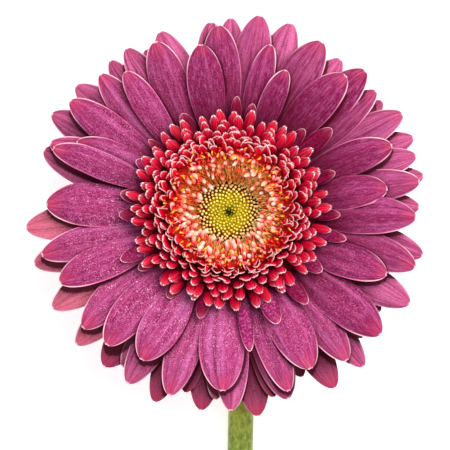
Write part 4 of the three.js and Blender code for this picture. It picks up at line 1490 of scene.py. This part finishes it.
@dataclass
class Stem:
    """The stem: a ribbed tube that lies along -Y and bends up to the head, with a down of short hairs."""

    head: HeadFrame
    reach: float = 245.0
    foot_radius: float = 3.8
    seat_depth: float = 0.4
    neck_points: int = 26
    lying_points: int = 149
    sides: int = 48
    ribs: int = 10
    rib_height: float = 0.012
    skin_share: float = 0.985
    cap_share: float = 0.02
    hair_count: int = 2600
    seed: int = 61

    def path(self) -> tuple[np.ndarray, np.ndarray]:
        """The middle line in the model's frame in mm, from the head to the cut end, and the radius on it.

        The neck is an arc from the head's axis down to the level. The rest bows sideways by a quarter sine
        wave out, eased at its start, and a parabola back.
        """
        h = self.head
        top = h.to_world(np.array([0.0, 0.0, -h.involucre_depth - h.gap])) / MM
        seat = h.to_world(np.array([0.0, 0.0, -h.involucre_depth + self.seat_depth])) / MM
        dip = np.linspace(h.neck_turn, 0.0, self.neck_points)
        bend_y = top[1] - h.neck_radius * (math.sin(h.neck_turn) - np.sin(dip))
        bend_z = top[2] - h.neck_radius * (np.cos(dip) - math.cos(h.neck_turn))
        share = np.linspace(0.0, 1.0, self.lying_points + 1)[1:]
        end_y = h.y - self.reach
        eased = share**2 / (share + 0.012)
        bow = 3.6 * np.sin(np.minimum(1.0, eased / 0.16) * math.pi / 2) - 9.0 * share**2
        radius = mix(h.stem_radius, self.foot_radius, share)
        x = np.concatenate(([seat[0]], np.full(self.neck_points, top[0]), top[0] + bow))
        y = np.concatenate(([seat[1]], bend_y, mix(bend_y[-1], end_y, share)))
        z = np.concatenate(([seat[2]], bend_z, radius * h.stem_flat))
        radii = np.concatenate((np.full(self.neck_points + 1, h.stem_radius), radius))
        return np.stack((x, y, z), axis=-1), radii

    def tube(self) -> Shell:
        """The skin: rings square to the path, each a circle with low ribs and flattened where it lies."""
        middle, radius = self.path()
        ahead = unit(np.gradient(middle, axis=0))
        side = unit(np.cross(np.array([0.0, 0.0, 1.0]), ahead) + np.array([1e-6, 0.0, 0.0]))
        up = np.cross(ahead, side)
        turn = np.arange(self.sides) / self.sides * FULL_TURN
        ribbed = 1.0 + self.rib_height * np.cos(self.ribs * turn)
        ring = np.cos(turn)[None, :, None] * side[:, None] + np.sin(turn)[None, :, None] * up[:, None]
        points = middle[:, None] + ring * (radius[:, None] * self.skin_share * ribbed[None])[..., None]
        head_end, cut_end = [middle[k] + (points[k] - middle[k]) * self.cap_share for k in (0, -1)]
        points = np.concatenate((head_end[None], points, cut_end[None]))
        points[..., 2] = np.maximum(points[..., 2], 0.0)
        rings = len(points)
        shape = points.shape[:-1]
        return Shell(
            points.reshape(-1, 3) * MM,
            tube_quads(rings, self.sides),
            spread(np.linspace(0, 1, rings)[:, None], shape),
            spread(turn / FULL_TURN, shape),
        )

    def hairs(self, rng: np.random.Generator) -> Shell:
        """Short thin needles that stand off the skin all round."""
        middle, radius = self.path()
        count = self.hair_count
        at = rng.integers(2, len(middle) - 2, count)
        ahead = unit(np.gradient(middle, axis=0))[at]
        across = unit(np.cross(ahead, rng.normal(size=(count, 3))))
        root = middle[at] + ahead * rng.uniform(-0.8, 0.8, (count, 1)) + across * radius[at][:, None] * 0.95
        length = rng.uniform(0.35, 0.9, (count, 1))
        tip = root + across * length + ahead * rng.uniform(-0.4, 0.4, (count, 1))
        tip[:, 2] = np.maximum(tip[:, 2], 0.05)
        radii = swelling(((0, 0.035), (0.5, 0.028), (1.0, 0.006)), 3, np.ones(count))
        return rods(straight(root, tip - root, 3), radii, 3, rng.uniform(0, 1, count), None)

    def build(self, skin: Material, down: Material) -> None:
        """Makes the skin and its down."""
        hairs = self.hairs(np.random.default_rng(self.seed))
        pieces = [self.tube().into_object("stem_skin", skin), hairs.into_object("stem_hairs", down)]
        for piece in pieces:
            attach(piece, "root")
            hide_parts("stem")


@dataclass
class Studio:
    """The pale table, the soft lights and the camera that looks straight down on the head."""

    head: HeadFrame
    pixel: float = 0.275
    picture: float = 450.0
    disc_pixel: tuple[float, float] = (229.0, 212.0)
    distance: float = 2000.0
    sensor: float = 36.0
    table_radius: float = 9.0
    table_drop: float = 0.05
    table_corners: int = 128

    def camera(self) -> None:
        """Stands the camera over the picture's middle, with the lens that fits the picture's width."""
        h = self.head
        x = h.x - (self.disc_pixel[0] - self.picture / 2) * self.pixel
        y = h.y + h.disc_height * math.sin(h.lean) + (self.disc_pixel[1] - self.picture / 2) * self.pixel
        data = bpy.data.cameras.new("camera")
        data.sensor_width = self.sensor
        data.lens = self.sensor * self.distance / (self.picture * self.pixel)
        data.clip_start, data.clip_end = 0.1, 20.0
        camera = bpy.data.objects.new("camera", data)
        camera.location = (x * MM, y * MM, (h.height + self.distance) * MM)
        bpy.context.scene.collection.objects.link(camera)
        bpy.context.scene.camera = camera

    def light(self, name: str, place: tuple[float, float, float], size: float, power: float,
              tint: tuple[float, float, float]) -> None:
        """Adds a soft square light that faces the head.

        Args:
            name: the light's name.
            place: metres from the head.
            size: side of the square in metres.
            power: watts.
            tint: colour of the light.
        """
        data = bpy.data.lights.new(name, "AREA")
        data.size, data.energy, data.color = size, power, tint
        lamp = bpy.data.objects.new(name, data)
        head = np.array([self.head.x, self.head.y, self.head.height]) * MM
        lamp.location = tuple(head + np.array(place))
        lamp.rotation_mode = "QUATERNION"
        lamp.rotation_quaternion = Vector(-np.array(place)).to_track_quat("-Z", "Y")
        lamp.visible_camera = False
        bpy.context.scene.collection.objects.link(lamp)

    def table(self) -> None:
        """A large pale round table top, just under the flower."""
        n = Nodes("table_top")
        cloud = n.noise(n.object_place(), 3.0, 2.0)
        n.put(n.shader.inputs["Base Color"], n.blend(cloud, (0.92, 0.92, 0.92, 1), (0.95, 0.95, 0.95, 1)))
        n.gloss(0.9, 0.1)
        n.shader.inputs["Emission Color"].default_value = (1.0, 1.0, 1.0, 1.0)
        n.shader.inputs["Emission Strength"].default_value = 0.46
        turn = np.linspace(0, FULL_TURN, self.table_corners, endpoint=False)
        points = around(turn, self.table_radius, -self.table_drop * MM)
        mesh = bpy.data.meshes.new("table")
        mesh.from_pydata(points.tolist(), [], [list(range(self.table_corners))])
        mesh.materials.append(n.material)
        table = bpy.data.objects.new("table", mesh)
        bpy.context.scene.collection.objects.link(table)

    def build(self) -> None:
        """Sets up table, lights, sky and camera."""
        self.table()
        self.light("key", (0.44, 0.46, 1.0), size=0.9, power=18.6, tint=(1.0, 0.985, 0.965))
        self.light("fill", (-0.9, -0.6, 0.9), size=1.3, power=6.5, tint=(0.97, 0.98, 1.0))
        world = bpy.data.worlds.new("sky")
        world.use_nodes = True
        sky = world.node_tree.nodes["Background"]
        sky.inputs["Color"].default_value = (1.0, 1.0, 1.0, 1.0)
        sky.inputs["Strength"].default_value = 0.48
        bpy.context.scene.world = world
        bpy.context.scene.view_settings.view_transform = "Standard"
        self.camera()


def build_ruff(head: HeadFrame) -> None:
    """Makes the ruff and the short purple florets under it."""
    small = RuffFinish(
        "small_ray_petal", root=colour(44, 0, 20), body=colour(88, 0, 34), pale=colour(126, 0, 50),
        streak=colour(160, 16, 76), root_end=0.6, rim=colour(244, 122, 162), rim_width=0.22, rim_from=0.55,
        crown=colour(255, 214, 220), other=colour(146, 32, 96), other_share=0.85, other_from=0.0,
        mottle_share=0.55, blush_share=0.06, specular=0.03)
    ground = GroundFinish("crimson_ground", 24.0, stops((0.0, 120, 4, 10), (1.0, 60, 0, 14)))
    Ruff(head).build(RuffFinish().material(), small.material(), ground.material())


def build_inner_florets(head: HeadFrame) -> None:
    """Makes the ring of inner florets with all that stands between them."""
    petals = RuffFinish(
        "inner_petal", root=colour(160, 0, 18), body=colour(216, 0, 36), pale=colour(250, 34, 76),
        root_end=0.5, rim=colour(255, 226, 222), rim_width=0.42, rim_from=0.75, blush_share=0.5)
    buds = RodFinish(
        "inner_bud",
        stops((0.0, 220, 20, 20), (0.22, 250, 40, 66), (0.42, 255, 140, 156), (0.62, 255, 212, 190),
              (1.0, 255, 240, 216)),
        colour(255, 120, 100), 0.7)
    tubes = RodFinish(
        "inner_tube", stops((0.0, 200, 10, 10), (0.5, 244, 10, 30), (0.8, 250, 60, 56), (1.0, 255, 150, 120)),
        colour(255, 110, 90))
    anthers = RodFinish(
        "anther", stops((0.0, 214, 90, 10), (0.4, 240, 156, 16), (1.0, 255, 214, 70)), colour(250, 170, 60))
    hairs = RodFinish(
        "pappus_hair", stops((0.0, 246, 104, 36), (0.3, 255, 194, 92), (1.0, 255, 234, 156)),
        colour(244, 164, 72), 0.85)
    ground = GroundFinish(
        "inner_ground", 18.0, stops((0.5, 206, 128, 52), (0.7, 220, 66, 36), (1.0, 170, 0, 14)))
    finishes = [finish.material() for finish in (petals, buds, tubes, anthers, hairs, ground)]
    InnerFlorets(head).build(*finishes)


def build_disc(head: HeadFrame) -> None:
    """Makes the disc."""
    soil = GroundFinish("disc_soil", 9.0, stops(
        (0.0, 20, 16, 0), (0.1, 60, 52, 2), (0.22, 176, 162, 12), (0.56, 176, 142, 14), (0.72, 112, 30, 8),
        (1.0, 88, 8, 6)))
    Disc(head).build(BudFinish().material(), soil.material())


def build_green_parts(head: HeadFrame) -> None:
    """Makes the cup with its bracts, and the stem with its down."""
    cup = StemFinish("cup_skin", light=colour(122, 144, 66), dark=colour(76, 104, 42))
    down = RodFinish("stem_hair", stops((0.0, 190, 200, 140), (1.0, 232, 236, 210)), colour(220, 224, 190))
    Involucre(head).build(BractFinish().material(), cup.material())
    Stem(head).build(StemFinish().material(), down.material())


def main() -> None:
    """Builds the flower and its studio."""
    logging.basicConfig(level=logging.INFO, format="%(name)s %(message)s")
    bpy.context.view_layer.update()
    head = HeadFrame()
    Studio(head).build()
    RayWhorl(head).build(RayFinish().material())
    build_ruff(head)
    build_inner_florets(head)
    build_disc(head)
    build_green_parts(head)


if __name__ == "__main__":
    main()
